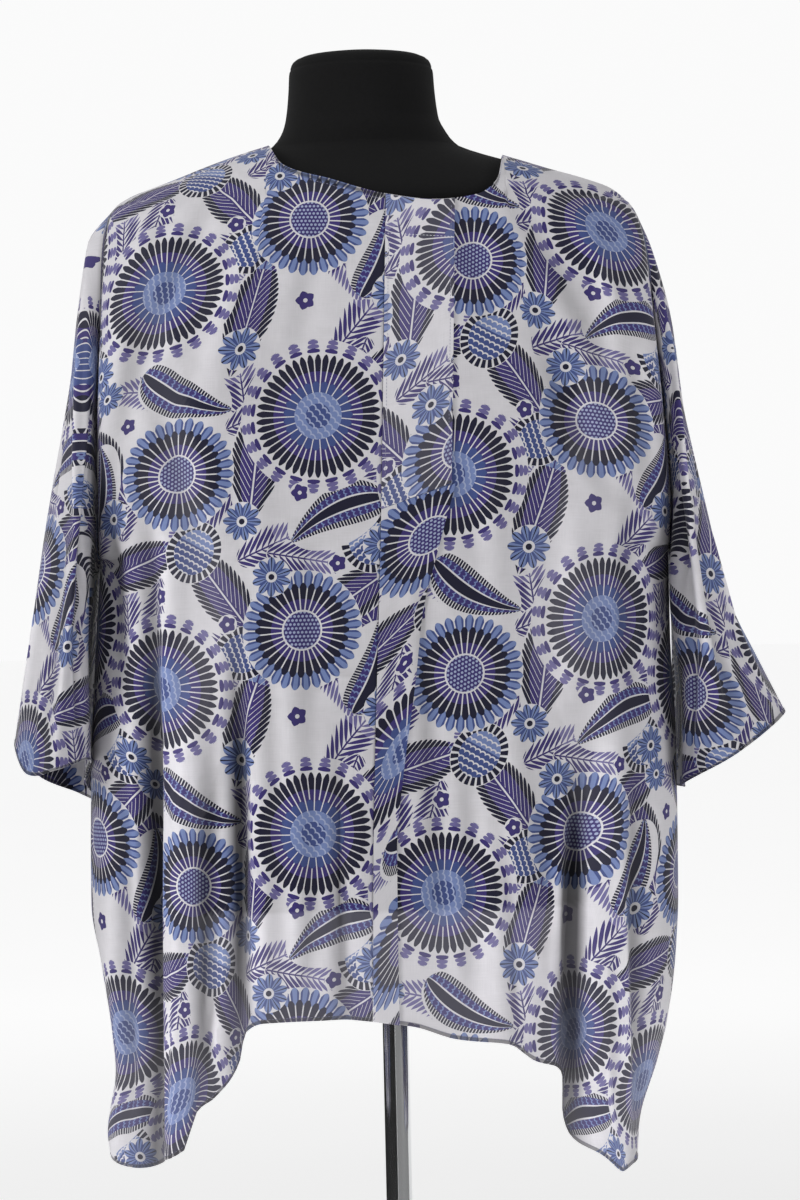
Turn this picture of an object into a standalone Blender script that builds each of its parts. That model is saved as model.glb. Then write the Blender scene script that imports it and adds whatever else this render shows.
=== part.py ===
"""Loose collarless blouse on a limbless dress form with a pole stand.

The blouse is cut boxy and wide, with dropped shoulders, wide elbow sleeves, a band at the centre
front with a pleat below it, and a hem that falls to a point at each side.

Sizes here are in millimetres and become metres where a mesh is made. +Z is up, the front faces -Y
and -X is the wearer's right. Heights are measured from the hem at the centre front, and
HEM_ABOVE_FLOOR lifts everything so that the underside of the base is at zero.
"""

from collections import namedtuple
from math import cos, pi, sin

import bmesh
import bpy
import numpy as np

MM = 0.001

# Driving sizes
HEM_ABOVE_FLOOR = 573.0
WALL = 1.2
SEAM_GAP = 0.3
LAYER_GAP = 0.6
UNDERARM_HEIGHT = 400.0
ARMHOLE_DEPTH = 66.0
TIP_HEIGHT = {"right": 699.0, "left": 694.0}
BODY_MIDDLE_HEIGHT = 330.0
BAND_WIDTH = 57.0
BAND_END_DROP = 18.0
BAND_END_SLANT = 20.0
BAND_TOP_INSET = 0.5
PLEAT_FOOT_WIDTH = 22.0

SIDE_SIGN = {"right": -1.0, "left": 1.0}
FACE_SIGN = {"front": -1.0, "back": 1.0}

# Grid counts of the cloth walls
NECK_COLUMNS = 8
SHOULDER_COLUMNS = 11
UPPER_ROWS = 12
LOWER_ROWS = 13
SLEEVE_ROWS = 11
LAYER_COLUMNS = 3
BAND_ROWS = 16
PLEAT_ROWS = 16
# Rows lie closer together over the shoulder, where the cloth turns
TOP_CROWDING = 1.25
TOP_EASE = 2.4
# Steps of the finer paths along which rows and columns are measured out
PATH_STEPS = 160
HALVINGS = 40
# The cloth's slope across is taken over a short step and held under a steepest value
SLOPE_STEP = 0.5
STEEPEST_SLOPE = 6.0

# Horizontal sections of the hanging cloth: half widths to each side of the body's axis, depths to
# the front and back, and the power of the superellipse, where 2 is round and more is boxy
Section = namedtuple("Section", "height right left front back power")
SECTIONS = [
    Section(752, 78, 60, 66, 58, 2.0),
    Section(748, 91, 70, 70, 62, 2.0),
    Section(739, 122, 97, 77, 69, 2.0),
    Section(730, 148, 126, 84, 76, 2.0),
    Section(722, 169, 151, 89, 82, 2.0),
    Section(714, 191, 178, 94, 87, 2.0),
    Section(706, 212, 199, 98, 91, 2.0),
    Section(699, 222, 208, 101, 94, 2.05),
    Section(690, 225, 215, 105, 97, 2.1),
    Section(662, 229, 223, 114, 103, 2.2),
    Section(600, 232, 228, 129, 110, 2.4),
    Section(520, 236, 234, 138, 114, 2.6),
    Section(430, 239, 240, 138, 114, 2.6),
    Section(330, 246, 240, 135, 113, 2.6),
    Section(240, 252, 243, 133, 112, 2.6),
    Section(110, 255, 242, 131, 112, 2.6),
    Section(60, 248, 239, 130, 111, 2.5),
    Section(0, 240, 230, 128, 110, 2.5),
    Section(-30, 238, 222, 126, 109, 2.4),
    Section(-85, 246, 205, 122, 107, 2.4),
    Section(-125, 238, 202, 119, 105, 2.4),
]

# Neckline seen from the front, and the hems, each as height over the distance from the axis
Point = namedtuple("Point", "x height")
FRONT_NECKLINE = [
    Point(-91, 748),
    Point(-77, 724),
    Point(-37, 709),
    Point(6, 695.5),
    Point(48, 689.5),
    Point(82, 693.5),
    Point(100, 707),
    Point(107, 735),
]
BACK_NECKLINE = [
    Point(-91, 748),
    Point(-70, 741),
    Point(0, 734),
    Point(80, 731),
    Point(107, 735),
]
FRONT_HEM = [
    Point(-246, -104),
    Point(-224, -108),
    Point(-195, -98),
    Point(-170, -86),
    Point(-165, -56),
    Point(-152, -44),
    Point(-132, -14),
    Point(-126, 9),
    Point(-106, 18),
    Point(-45, 20),
    Point(10, 14),
    Point(43, 3),
    Point(84, -3),
    Point(104, -17),
    Point(135, -31),
    Point(143, -64),
    Point(154, -88),
    Point(168, -99),
    Point(188, -117),
    Point(204, -116),
]
BACK_HEM = [
    Point(-246, -104),
    Point(-215, -102),
    Point(-178, -80),
    Point(-158, -36),
    Point(-120, 2),
    Point(-40, 12),
    Point(50, 12),
    Point(115, -6),
    Point(140, -44),
    Point(163, -88),
    Point(190, -113),
    Point(204, -116),
]
CENTRE_LINE = [
    Point(8, 705),
    Point(-2, 432),
    Point(-15, 140),
    Point(-18, 0),
]
PLEAT_EDGE = [
    Point(59, 453),
    Point(47, 412),
    Point(30, 348),
    Point(23, 293),
    Point(12, 221),
    Point(5, 157),
    Point(4, 16),
    Point(4, -20),
]

# Long soft folds: where each starts and ends, how far it reaches towards the centre and towards the
# side seam, and how far it rises (a trough is negative)
Fold = namedtuple("Fold", "x_top top x_bottom bottom inner outer rise")
FRONT_FOLDS = [
    Fold(-196, 335, -208, -130, 15, 17, -17),
    Fold(-160, 330, -182, -130, 9, 14, 15),
    Fold(-124, 320, -128, -60, 15, 14, -8),
    Fold(-148, 560, -146, 400, 26, 22, 6),
    Fold(-50, 170, -36, -60, 12, 13, -6),
    Fold(78, 300, 74, -80, 26, 24, 6),
    Fold(155, 230, 140, -130, 12, 9, -14),
    Fold(176, 330, 172, -130, 14, 16, 11),
    Fold(-70, 640, -120, 470, 26, 26, -4),
    Fold(110, 640, 170, 430, 26, 24, -5),
]
BACK_FOLDS = [
    Fold(-170, 420, -196, -130, 15, 16, -13),
    Fold(-128, 560, -160, -130, 18, 14, 10),
    Fold(-70, 470, -84, -120, 22, 22, -8),
    Fold(-18, 520, -14, -120, 24, 24, 7),
    Fold(58, 500, 52, -120, 20, 20, -8),
    Fold(112, 560, 128, -130, 18, 15, 9),
    Fold(160, 430, 168, -130, 15, 15, -12),
]
FOLD_RAMP = 150.0
FOLD_EDGE = 14.0

# The closed edge of each cuff, an eighth of a turn apart: outer, front, inner and back points with
# one between each two
CuffPoint = namedtuple("CuffPoint", "x y height")
CUFFS = {
    "right": [
        CuffPoint(-318, 0, 247),
        CuffPoint(-303, -60, 223),
        CuffPoint(-275, -92, 227),
        CuffPoint(-249, -64, 234),
        CuffPoint(-259, 0, 212),
        CuffPoint(-251, 60, 192),
        CuffPoint(-276, 88, 200),
        CuffPoint(-304, 56, 215),
    ],
    "left": [
        CuffPoint(337, 0, 259),
        CuffPoint(320, -58, 249),
        CuffPoint(284, -88, 226),
        CuffPoint(246, -62, 204),
        CuffPoint(250, 0, 197),
        CuffPoint(247, 62, 199),
        CuffPoint(284, 86, 219),
        CuffPoint(321, 56, 243),
    ],
}
# How far a sleeve leaves the straight way from armhole to cuff: outwards along its outer line and
# its inner line, and forwards and backwards at its middle
SleeveBulge = namedtuple("SleeveBulge", "share right_outer left_outer inner depth")
SLEEVE_BULGE = [
    SleeveBulge(0.0, 0, 0, 0, 0),
    SleeveBulge(0.06, 16, 4, 2, 7),
    SleeveBulge(0.14, 15, 5, 3, 12),
    SleeveBulge(0.36, 9, -8, 3, 20),
    SleeveBulge(0.56, 8, -14, 3, 21),
    SleeveBulge(0.78, 4, -18, 2, 13),
    SleeveBulge(0.9, 2, -9, 1, 6),
    SleeveBulge(1.0, 0, 0, 0, 0),
]
# Troughs that run down a sleeve: where round it, between which shares of its length, how deep
SleeveFold = namedtuple("SleeveFold", "turn start end half_turn rise")
SLEEVE_FOLDS = {
    "right": [
        SleeveFold(0.17, 0.35, 1.1, 0.045, -7),
        SleeveFold(0.33, 0.15, 0.8, 0.05, -8),
        SleeveFold(0.83, 0.3, 1.1, 0.05, -7),
        SleeveFold(0.68, 0.1, 0.8, 0.05, -8),
    ],
    "left": [
        SleeveFold(0.2, 0.45, 1.0, 0.05, -12),
        SleeveFold(0.34, 0.1, 0.85, 0.045, -9),
        SleeveFold(0.8, 0.4, 1.1, 0.05, -9),
        SleeveFold(0.67, 0.1, 0.8, 0.05, -8),
    ],
}

# Dress form: sections like the cloth's, with the middle's shift sideways
FormSection = namedtuple("FormSection", "height middle width front back")
FORM_SECTIONS = [
    FormSection(108, 0, 166, 104, 96),
    FormSection(115, 0, 171, 109, 100),
    FormSection(150, 0, 170, 108, 101),
    FormSection(200, 0, 160, 103, 97),
    FormSection(250, 0, 145, 98, 91),
    FormSection(300, 0, 130, 94, 85),
    FormSection(345, 0, 123, 92, 82),
    FormSection(400, 0, 133, 102, 86),
    FormSection(450, 0, 151, 117, 93),
    FormSection(500, 0, 166, 127, 99),
    FormSection(550, 0, 174, 122, 102),
    FormSection(600, -1, 186, 112, 102),
    FormSection(650, -2, 199, 101, 97),
    FormSection(680, -4, 203, 97, 90),
    FormSection(695, -5, 203, 95, 88),
    FormSection(704, -5, 197, 90, 83),
    FormSection(712, -5, 178, 84, 77),
    FormSection(720, -6, 155, 78, 71),
    FormSection(728, -9, 132, 72, 65),
    FormSection(736, -10, 105, 67, 60),
    FormSection(745, -10, 81, 63, 56),
    FormSection(756, -10, 71, 63, 59),
    FormSection(770, -11, 65, 61, 58),
    FormSection(795, -11, 62, 60, 57),
    FormSection(810, -11, 61, 59, 56),
    FormSection(818, -11, 58, 56, 53),
    FormSection(822, -11, 51, 49, 47),
    FormSection(824, -11, 38, 37, 35),
]
FORM_SIDES = 32

# Stand
POLE_RADIUS = 11.0
BASE_RADIUS = 155.0
BASE_THICKNESS = 10.0
BASE_BEVEL = 3.0
COLLAR_RADIUS = 19.0
COLLAR_HEIGHT = 34.0
COLLAR_BEVEL = 2.0
COLLAR_FOOT_RADIUS = 24.0
COLLAR_FOOT_HEIGHT = 5.0
COLLAR_NECK_HEIGHT = 8.0
FLANGE_RADIUS = 34.0
FLANGE_PLATE = 4.0
FLANGE_TUBE_RADIUS = 18.0
FLANGE_HEIGHT = 12.0
STAND_SIDES = 24

COLOURS = {
    "cloth": (0.62, 0.64, 0.70, 1.0),
    "form": (0.012, 0.012, 0.014, 1.0),
    "chrome": (0.78, 0.79, 0.80, 1.0),
    "base": (0.70, 0.71, 0.72, 1.0),
}
ROUGHNESS = {"cloth": 0.62, "form": 0.95, "chrome": 0.12, "base": 0.3}
METALLIC = {"cloth": 0.0, "form": 0.0, "chrome": 1.0, "base": 1.0}


def curve(xs, ys):
    """A smooth curve through points that never overshoots them."""
    order = np.argsort(xs)
    x = np.array(xs, float)[order]
    y = np.array(ys, float)[order]
    step = np.diff(x)
    slope = np.diff(y) / step
    tangent = np.zeros_like(y)
    tangent[0], tangent[-1] = slope[0], slope[-1]
    for i in range(1, len(y) - 1):
        if slope[i - 1] * slope[i] > 0:
            before = 2 * step[i] + step[i - 1]
            after = step[i] + 2 * step[i - 1]
            tangent[i] = (before + after) / (before / slope[i - 1] + after / slope[i])

    def at(value):
        v = np.clip(value, x[0], x[-1])
        i = np.clip(np.searchsorted(x, v) - 1, 0, len(x) - 2)
        t = (v - x[i]) / step[i]
        return (
            y[i] * (1 + 2 * t) * (1 - t) ** 2
            + tangent[i] * step[i] * t * (1 - t) ** 2
            + y[i + 1] * t * t * (3 - 2 * t)
            + tangent[i + 1] * step[i] * t * t * (t - 1)
        )

    return at


def column(rows, x_name, y_name):
    return curve([getattr(row, x_name) for row in rows], [getattr(row, y_name) for row in rows])


HALF_WIDTH = {side: column(SECTIONS, "height", side) for side in ("right", "left")}
DEPTH = {face: column(SECTIONS, "height", face) for face in ("front", "back")}
POWER = column(SECTIONS, "height", "power")
NECKLINE = {
    "front": column(FRONT_NECKLINE, "x", "height"),
    "back": column(BACK_NECKLINE, "x", "height"),
}
HEM = {"front": column(FRONT_HEM, "x", "height"), "back": column(BACK_HEM, "x", "height")}
CENTRE_X = column(CENTRE_LINE, "height", "x")
PLEAT_X = column(PLEAT_EDGE, "height", "x")
FOLDS = {"front": FRONT_FOLDS, "back": BACK_FOLDS}
NECK_POINT = {"right": -FRONT_NECKLINE[0].x, "left": FRONT_NECKLINE[-1].x}
LOWEST_HEM = SECTIONS[-1].height


def smoothstep(value):
    t = np.clip(value, 0.0, 1.0)
    return t * t * (3 - 2 * t)


def armhole_depth(side, height):
    """Half the width of the armhole, seen from the side, at a height."""
    top = TIP_HEIGHT[side]
    middle = (top + UNDERARM_HEIGHT) / 2
    reach = (top - UNDERARM_HEIGHT) / 2
    inside = np.clip(1 - ((height - middle) / reach) ** 2, 0, 1)
    return ARMHOLE_DEPTH * np.sqrt(inside)


def depth_at(side, face, x, height):
    """How far the cloth lies in front of or behind the axis."""
    width = HALF_WIDTH[side](height)
    edge = armhole_depth(side, height)
    power = POWER(height)
    share = np.clip(np.abs(x) / width, 0, 1)
    return edge + (DEPTH[face](height) - edge) * (1 - share**power) ** (1 / power)


def side_of(x):
    return "right" if x < 0 else "left"


def neckline_shares(side, face):
    """Shares of the way to the shoulder tip at even steps along the neckline, which turns steeply."""
    sign = SIDE_SIGN[side]
    centre = float(CENTRE_X(TIP_HEIGHT[side]))
    ease = 1 - (1 - np.linspace(0, 1, PATH_STEPS)) ** 3
    xs = centre + (sign * NECK_POINT[side] - centre) * ease
    heights = NECKLINE[face](xs)
    depths = np.array([depth_at(side_of(x), face, x, h) for x, h in zip(xs, heights)])
    path = np.stack([xs, depths, heights], axis=1)
    lengths = np.concatenate([[0], np.cumsum(np.linalg.norm(np.diff(path, axis=0), axis=1))])
    even = np.interp(np.linspace(0, lengths[-1], PATH_STEPS), lengths, xs)
    tip = sign * float(HALF_WIDTH[side](TIP_HEIGHT[side]))
    return (even - centre) / (tip - centre)


def top_share(side, face, k):
    """How far towards the shoulder tip column k, from 0 to 1, starts."""
    neck = NECK_COLUMNS / (NECK_COLUMNS + SHOULDER_COLUMNS)
    shares = NECK_SHARES[side, face]
    if k < neck:
        return float(np.interp(k / neck, np.linspace(0, 1, len(shares)), shares))
    return shares[-1] + (1 - shares[-1]) * (k - neck) / (1 - neck)


def column_x(side, face, k, height):
    """Distance from the axis of column k, from the centre line at 0 to the side edge at 1."""
    sign = SIDE_SIGN[side]
    level = min(height, TIP_HEIGHT[side])
    turned = smoothstep((TIP_HEIGHT[side] - level) / (TIP_HEIGHT[side] - UNDERARM_HEIGHT))
    spread = (1 - turned) * top_share(side, face, k) + turned * sin(k * pi / 2)
    centre = CENTRE_X(level)
    return centre + (sign * HALF_WIDTH[side](level) - centre) * spread


def shoulder_height(side, x):
    """Height of the shoulder line over a point, found by halving."""
    low, high = TIP_HEIGHT[side], SECTIONS[0].height
    for _ in range(HALVINGS):
        middle = (low + high) / 2
        if HALF_WIDTH[side](middle) > abs(x):
            low = middle
        else:
            high = middle
    return (low + high) / 2


def top_height(side, face, k):
    x = column_x(side, face, k, TIP_HEIGHT[side])
    neck = -NECK_POINT["right"] < x < NECK_POINT["left"]
    return float(NECKLINE[face](x)) if neck else shoulder_height(side, x)


def fold_rise(face, x, height):
    """How far the long folds move the cloth outwards at a point."""
    total = 0.0
    for fold in FOLDS[face]:
        along = (fold.top - height) / (fold.top - fold.bottom)
        middle = fold.x_top + (fold.x_bottom - fold.x_top) * np.clip(along, 0, 1)
        away = (x - middle) * (-1.0 if middle < 0 else 1.0)
        reach = fold.outer if away > 0 else fold.inner
        strength = smoothstep((fold.top - height) / FOLD_RAMP)
        if fold.bottom > 0:
            strength *= smoothstep(2 * (height - fold.bottom) / FOLD_RAMP)
        total += fold.rise * strength * np.exp(-((away / reach) ** 2))
    return total


def surface_point(side, face, x, height, lift=0.0):
    """A point on the hanging cloth, with its folds, moved out by a lift."""
    depth = depth_at(side_of(x), face, x, height)
    width = HALF_WIDTH[side](height)
    beside = depth_at(side_of(x), face, x + SLOPE_STEP, height)
    slope = float(np.clip((beside - depth) / SLOPE_STEP, -STEEPEST_SLOPE, STEEPEST_SLOPE))
    length = (1 + slope * slope) ** 0.5
    fade = 1.0 if height > UNDERARM_HEIGHT else smoothstep((width - abs(x)) / FOLD_EDGE)
    rise = fold_rise(face, x, height) * fade + lift
    return np.array([x - slope / length * rise, FACE_SIGN[face] * (depth + rise / length), height])


def column_heights(side, face, k):
    """Heights of one column's rows: even along the cloth above the underarm and down below it."""
    top = top_height(side, face, k)
    heights = top - (top - UNDERARM_HEIGHT) * np.linspace(0, 1, PATH_STEPS) ** TOP_EASE
    path = np.array([surface_point(side, face, column_x(side, face, k, h), h) for h in heights])
    lengths = np.concatenate([[0], np.cumsum(np.linalg.norm(np.diff(path, axis=0), axis=1))])
    rows = np.linspace(0, 1, UPPER_ROWS + 1) ** TOP_CROWDING
    upper = np.interp(rows * lengths[-1], lengths, heights)
    hem = float(HEM[face](column_x(side, face, k, LOWEST_HEM / 2)))
    lower = np.linspace(UNDERARM_HEIGHT, hem, LOWER_ROWS + 1)
    return np.concatenate([upper, lower[1:]])


def half_grid(side, face):
    """Outer points of half a panel, rows down and columns from the centre line to the side."""
    grid = []
    for k in np.linspace(0, 1, NECK_COLUMNS + SHOULDER_COLUMNS + 1):
        heights = column_heights(side, face, k)
        grid.append([surface_point(side, face, column_x(side, face, k, h), h) for h in heights])
    grid = np.array(grid).transpose(1, 0, 2)
    half_gap = FACE_SIGN[face] * SEAM_GAP / 2
    grid[0, NECK_COLUMNS:, 1] = half_gap
    grid[UPPER_ROWS:, -1, 1] = half_gap
    return grid


def grid_normals(grid, closed=False):
    """Unit directions away from the cloth's hollow side."""
    if closed:
        across = np.roll(grid, -1, axis=1) - np.roll(grid, 1, axis=1)
    else:
        across = np.gradient(grid, axis=1)
    down = np.gradient(grid, axis=0)
    normals = np.cross(across, down)
    normals /= np.linalg.norm(normals, axis=2, keepdims=True)
    body_middle = np.array([0.0, 0.0, BODY_MIDDLE_HEIGHT])
    middle = grid.mean(axis=1, keepdims=True) if closed else body_middle
    if (normals * (grid - middle)).sum() < 0:
        normals = -normals
    return normals


def flatten_normals(normals, rows, columns, axis):
    """Turn the directions along a seam into the seam's own plane."""
    normals[rows, columns, axis] = 0.0
    normals[rows, columns] /= np.linalg.norm(normals[rows, columns], axis=-1, keepdims=True)


def panel_normals(grid, side_columns):
    normals = grid_normals(grid)
    for edge, shoulder in side_columns:
        flatten_normals(normals, slice(UPPER_ROWS, None), edge, 1)
        flatten_normals(normals, 0, shoulder, 1)
    return normals


def material(name):
    found = bpy.data.materials.get(name)
    if found:
        return found
    made = bpy.data.materials.new(name)
    made.use_nodes = True
    shader = made.node_tree.nodes["Principled BSDF"]
    shader.inputs["Base Color"].default_value = COLOURS[name]
    shader.inputs["Roughness"].default_value = ROUGHNESS[name]
    shader.inputs["Metallic"].default_value = METALLIC[name]
    return made


def add_object(name, mesh_data, material_name):
    """Turn a bmesh in millimetres into an object of its own."""
    bmesh.ops.recalc_face_normals(mesh_data, faces=mesh_data.faces)
    bmesh.ops.scale(mesh_data, vec=(MM, MM, MM), verts=mesh_data.verts)
    bmesh.ops.translate(mesh_data, vec=(0, 0, HEM_ABOVE_FLOOR * MM), verts=mesh_data.verts)
    mesh = bpy.data.meshes.new(name)
    mesh_data.to_mesh(mesh)
    mesh_data.free()
    mesh.shade_smooth()
    mesh.set_sharp_from_angle(angle=pi / 4)
    mesh.materials.append(material(material_name))
    made = bpy.data.objects.new(name, mesh)
    bpy.context.scene.collection.objects.link(made)
    return made


def add_wall(name, outer, normals, thickness=WALL, closed=False):
    """A cloth wall: an outer skin, an inner skin and the edges between them."""
    rows, columns = outer.shape[:2]
    inner = outer - normals * thickness
    mesh_data = bmesh.new()
    skins = [[[mesh_data.verts.new(p) for p in row] for row in skin] for skin in (outer, inner)]
    last = columns if closed else columns - 1
    for skin in skins:
        for r in range(rows - 1):
            for c in range(last):
                d = (c + 1) % columns
                mesh_data.faces.new((skin[r][c], skin[r][d], skin[r + 1][d], skin[r + 1][c]))
    out, back = skins
    for r in (0, rows - 1):
        for c in range(last):
            d = (c + 1) % columns
            mesh_data.faces.new((out[r][c], out[r][d], back[r][d], back[r][c]))
    if not closed:
        for c in (0, columns - 1):
            for r in range(rows - 1):
                mesh_data.faces.new((out[r][c], out[r + 1][c], back[r + 1][c], back[r][c]))
    return add_object(name, mesh_data, "cloth")


def make_front(side):
    """One front, from the centre seam to the shoulder, armhole and side seams."""
    grid = half_grid(side, "front")
    normals = panel_normals(grid, [(-1, slice(NECK_COLUMNS, None))])
    flatten_normals(normals, slice(None), 0, 0)
    grid[:, 0, 0] += SIDE_SIGN[side] * SEAM_GAP / 2
    add_wall("front_" + side, grid, normals)
    return grid


def make_back():
    """The back in one piece, from side seam to side seam."""
    halves = {side: half_grid(side, "back") for side in ("right", "left")}
    grid = np.concatenate([halves["right"][:, ::-1], halves["left"][:, 1:]], axis=1)
    edge_columns = [
        (0, slice(0, SHOULDER_COLUMNS + 1)),
        (-1, slice(-SHOULDER_COLUMNS - 1, None)),
    ]
    add_wall("back", grid, panel_normals(grid, edge_columns))
    return halves


def armhole_ring(side, front, back):
    """The body's armhole edge as a loop: down the front and up the back."""
    down = front[: UPPER_ROWS + 1, -1]
    up = back[: UPPER_ROWS + 1, -1]
    loop = np.concatenate([down[:-1], up[:0:-1]])
    loop[0] = (down[0] + up[0]) / 2
    loop[UPPER_ROWS] = (down[-1] + up[-1]) / 2
    middle = np.array([0.0, 0.0, (TIP_HEIGHT[side] + UNDERARM_HEIGHT) / 2])
    inward = (middle - loop) * np.array([0.0, 1.0, 1.0])
    inward /= np.linalg.norm(inward, axis=1, keepdims=True)
    outward = np.array([SIDE_SIGN[side], 0.0, 0.0])
    return loop + (inward + outward) * SEAM_GAP


def cuff_ring(side, turns):
    """The cuff's edge, by a closed smooth curve through its points."""
    points = np.array(CUFFS[side], float)
    count = len(points)
    ring = []
    for turn in turns:
        place = turn * count
        i = int(place) % count
        t = place - int(place)
        a, b, c, d = (points[(i + k) % count] for k in (-1, 0, 1, 2))
        squared = 2 * a - 5 * b + 4 * c - d
        cubed = 3 * b - a - 3 * c + d
        ring.append((2 * b + (c - a) * t + squared * t**2 + cubed * t**3) / 2)
    return np.array(ring)


def turn_distance(a, b):
    gap = abs(a - b) % 1.0
    return min(gap, 1.0 - gap)


def make_sleeve(side, front, back):
    """A wide sleeve that hangs from the armhole to its cuff beside the body."""
    start = armhole_ring(side, front, back)
    turns = np.arange(len(start)) / len(start)
    end = cuff_ring(side, turns)
    outer_line = column(SLEEVE_BULGE, "share", side + "_outer")
    inner_line = column(SLEEVE_BULGE, "share", "inner")
    depth_line = column(SLEEVE_BULGE, "share", "depth")
    rows = []
    for share in np.linspace(0, 1, SLEEVE_ROWS + 1):
        ring = start + (end - start) * share
        towards_outer = np.clip(np.cos(2 * pi * turns), 0, 1)
        towards_inner = np.clip(-np.cos(2 * pi * turns), 0, 1)
        ring[:, 0] += SIDE_SIGN[side] * towards_outer * outer_line(share)
        ring[:, 0] += SIDE_SIGN[side] * towards_inner * inner_line(share)
        ring[:, 1] -= np.sin(2 * pi * turns) * depth_line(share)
        rows.append(ring)
    grid = np.array(rows)
    normals = grid_normals(grid, closed=True)
    for fold in SLEEVE_FOLDS[side]:
        for r, share in enumerate(np.linspace(0, 1, SLEEVE_ROWS + 1)):
            along = (share - fold.start) / (fold.end - fold.start)
            if not 0 < along < 1:
                continue
            for c, turn in enumerate(turns):
                near = np.exp(-((turn_distance(turn, fold.turn) / fold.half_turn) ** 2))
                grid[r, c] += normals[r, c] * fold.rise * near * sin(pi * along)
    normals = grid_normals(grid, closed=True)
    flatten_normals(normals, 0, slice(None), 0)
    add_wall("sleeve_" + side, grid, normals, closed=True)


def layer_grid(left_edge, right_edge, top, bottom, rows):
    """Outer points of a strip that lies on the left front, between two upright edges."""
    lift = WALL + LAYER_GAP
    grid = []
    for down in np.linspace(0, 1, rows + 1) ** TOP_CROWDING:
        line = []
        for across in np.linspace(0, 1, LAYER_COLUMNS + 1):
            height = (1 - down) * top(across) + down * bottom(across)
            x = (1 - across) * left_edge(height) + across * right_edge(height)
            line.append(surface_point("left", "front", float(x), float(height), lift))
        grid.append(line)
    return np.array(grid)


def make_band():
    """The band over the opening, from the neckline to the top of the pleat."""
    bottom = PLEAT_EDGE[0].height - BAND_END_DROP
    top_x = CENTRE_X(TIP_HEIGHT["left"])
    grid = layer_grid(
        lambda h: CENTRE_X(h) + SEAM_GAP,
        lambda h: CENTRE_X(h) + BAND_WIDTH,
        lambda across: NECKLINE["front"](top_x + BAND_WIDTH * across) - BAND_TOP_INSET,
        lambda across: bottom + BAND_END_SLANT * across,
        BAND_ROWS,
    )
    add_wall("band", grid, grid_normals(grid))


def make_pleat():
    """The pleat below the band, which narrows to the hem."""
    top = PLEAT_EDGE[0].height - BAND_END_DROP - SEAM_GAP
    foot_x = CENTRE_X(0.0)
    grid = layer_grid(
        lambda h: CENTRE_X(h) + SEAM_GAP,
        PLEAT_X,
        lambda across: top + BAND_END_SLANT * across,
        lambda across: HEM["front"](foot_x + PLEAT_FOOT_WIDTH * across),
        PLEAT_ROWS,
    )
    add_wall("pleat", grid, grid_normals(grid))


def make_form():
    """The dress form: one smooth closed body from hip to neck."""
    mesh_data = bmesh.new()
    rings = []
    for row in FORM_SECTIONS:
        ring = []
        for k in range(FORM_SIDES):
            angle = 2 * pi * k / FORM_SIDES
            depth = row.back if sin(angle) > 0 else row.front
            place = (row.middle + row.width * cos(angle), depth * sin(angle), row.height)
            ring.append(mesh_data.verts.new(place))
        rings.append(ring)
    for low, high in zip(rings, rings[1:]):
        for k in range(FORM_SIDES):
            n = (k + 1) % FORM_SIDES
            mesh_data.faces.new((low[k], low[n], high[n], high[k]))
    mesh_data.faces.new(rings[0])
    mesh_data.faces.new(rings[-1])
    return add_object("dress_form", mesh_data, "form")


def add_turned(name, profile, material_name):
    """A round piece from its profile: radii and heights above the floor, as a closed outline."""
    mesh_data = bmesh.new()
    rings = []
    for radius, height in profile:
        level = height - HEM_ABOVE_FLOOR
        if radius == 0:
            rings.append([mesh_data.verts.new((0, 0, level))] * STAND_SIDES)
            continue
        turns = [2 * pi * k / STAND_SIDES for k in range(STAND_SIDES)]
        rings.append([mesh_data.verts.new((radius * cos(t), radius * sin(t), level)) for t in turns])
    for low, high in zip(rings, rings[1:] + rings[:1]):
        for k in range(STAND_SIDES):
            n = (k + 1) % STAND_SIDES
            corners = list(dict.fromkeys((low[k], low[n], high[n], high[k])))
            if len(corners) > 2:
                mesh_data.faces.new(corners)
    return add_object(name, mesh_data, material_name)


def make_stand():
    """The round base, the collar on it, the pole, and the flange under the form."""
    top = BASE_THICKNESS
    form_bottom = HEM_ABOVE_FLOOR + FORM_SECTIONS[0].height
    bore = POLE_RADIUS + SEAM_GAP
    add_turned(
        "base",
        [
            (0, 0),
            (BASE_RADIUS, 0),
            (BASE_RADIUS, top - BASE_BEVEL),
            (BASE_RADIUS - BASE_BEVEL, top),
            (0, top),
        ],
        "base",
    )
    low = top + SEAM_GAP
    high = form_bottom - SEAM_GAP
    add_turned("pole", [(0, low), (POLE_RADIUS, low), (POLE_RADIUS, high), (0, high)], "chrome")
    collar_top = low + COLLAR_HEIGHT
    add_turned(
        "pole_collar",
        [
            (bore, low),
            (COLLAR_FOOT_RADIUS, low),
            (COLLAR_FOOT_RADIUS, low + COLLAR_FOOT_HEIGHT),
            (COLLAR_RADIUS, low + COLLAR_NECK_HEIGHT),
            (COLLAR_RADIUS, collar_top - COLLAR_BEVEL),
            (COLLAR_RADIUS - COLLAR_BEVEL, collar_top),
            (bore, collar_top),
        ],
        "chrome",
    )
    add_turned(
        "pole_flange",
        [
            (bore, high - FLANGE_HEIGHT),
            (FLANGE_TUBE_RADIUS, high - FLANGE_HEIGHT),
            (FLANGE_TUBE_RADIUS, high - FLANGE_PLATE),
            (FLANGE_RADIUS, high - FLANGE_PLATE),
            (FLANGE_RADIUS, high),
            (bore, high),
        ],
        "chrome",
    )


def clear_scene():
    for item in list(bpy.data.objects):
        bpy.data.objects.remove(item, do_unlink=True)


NECK_SHARES = {(side, face): neckline_shares(side, face) for side in SIDE_SIGN for face in FACE_SIGN}


def main():
    clear_scene()
    fronts = {side: make_front(side) for side in ("right", "left")}
    backs = make_back()
    for side in ("right", "left"):
        make_sleeve(side, fronts[side], backs[side])
    make_band()
    make_pleat()
    make_form()
    make_stand()


main()
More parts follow.
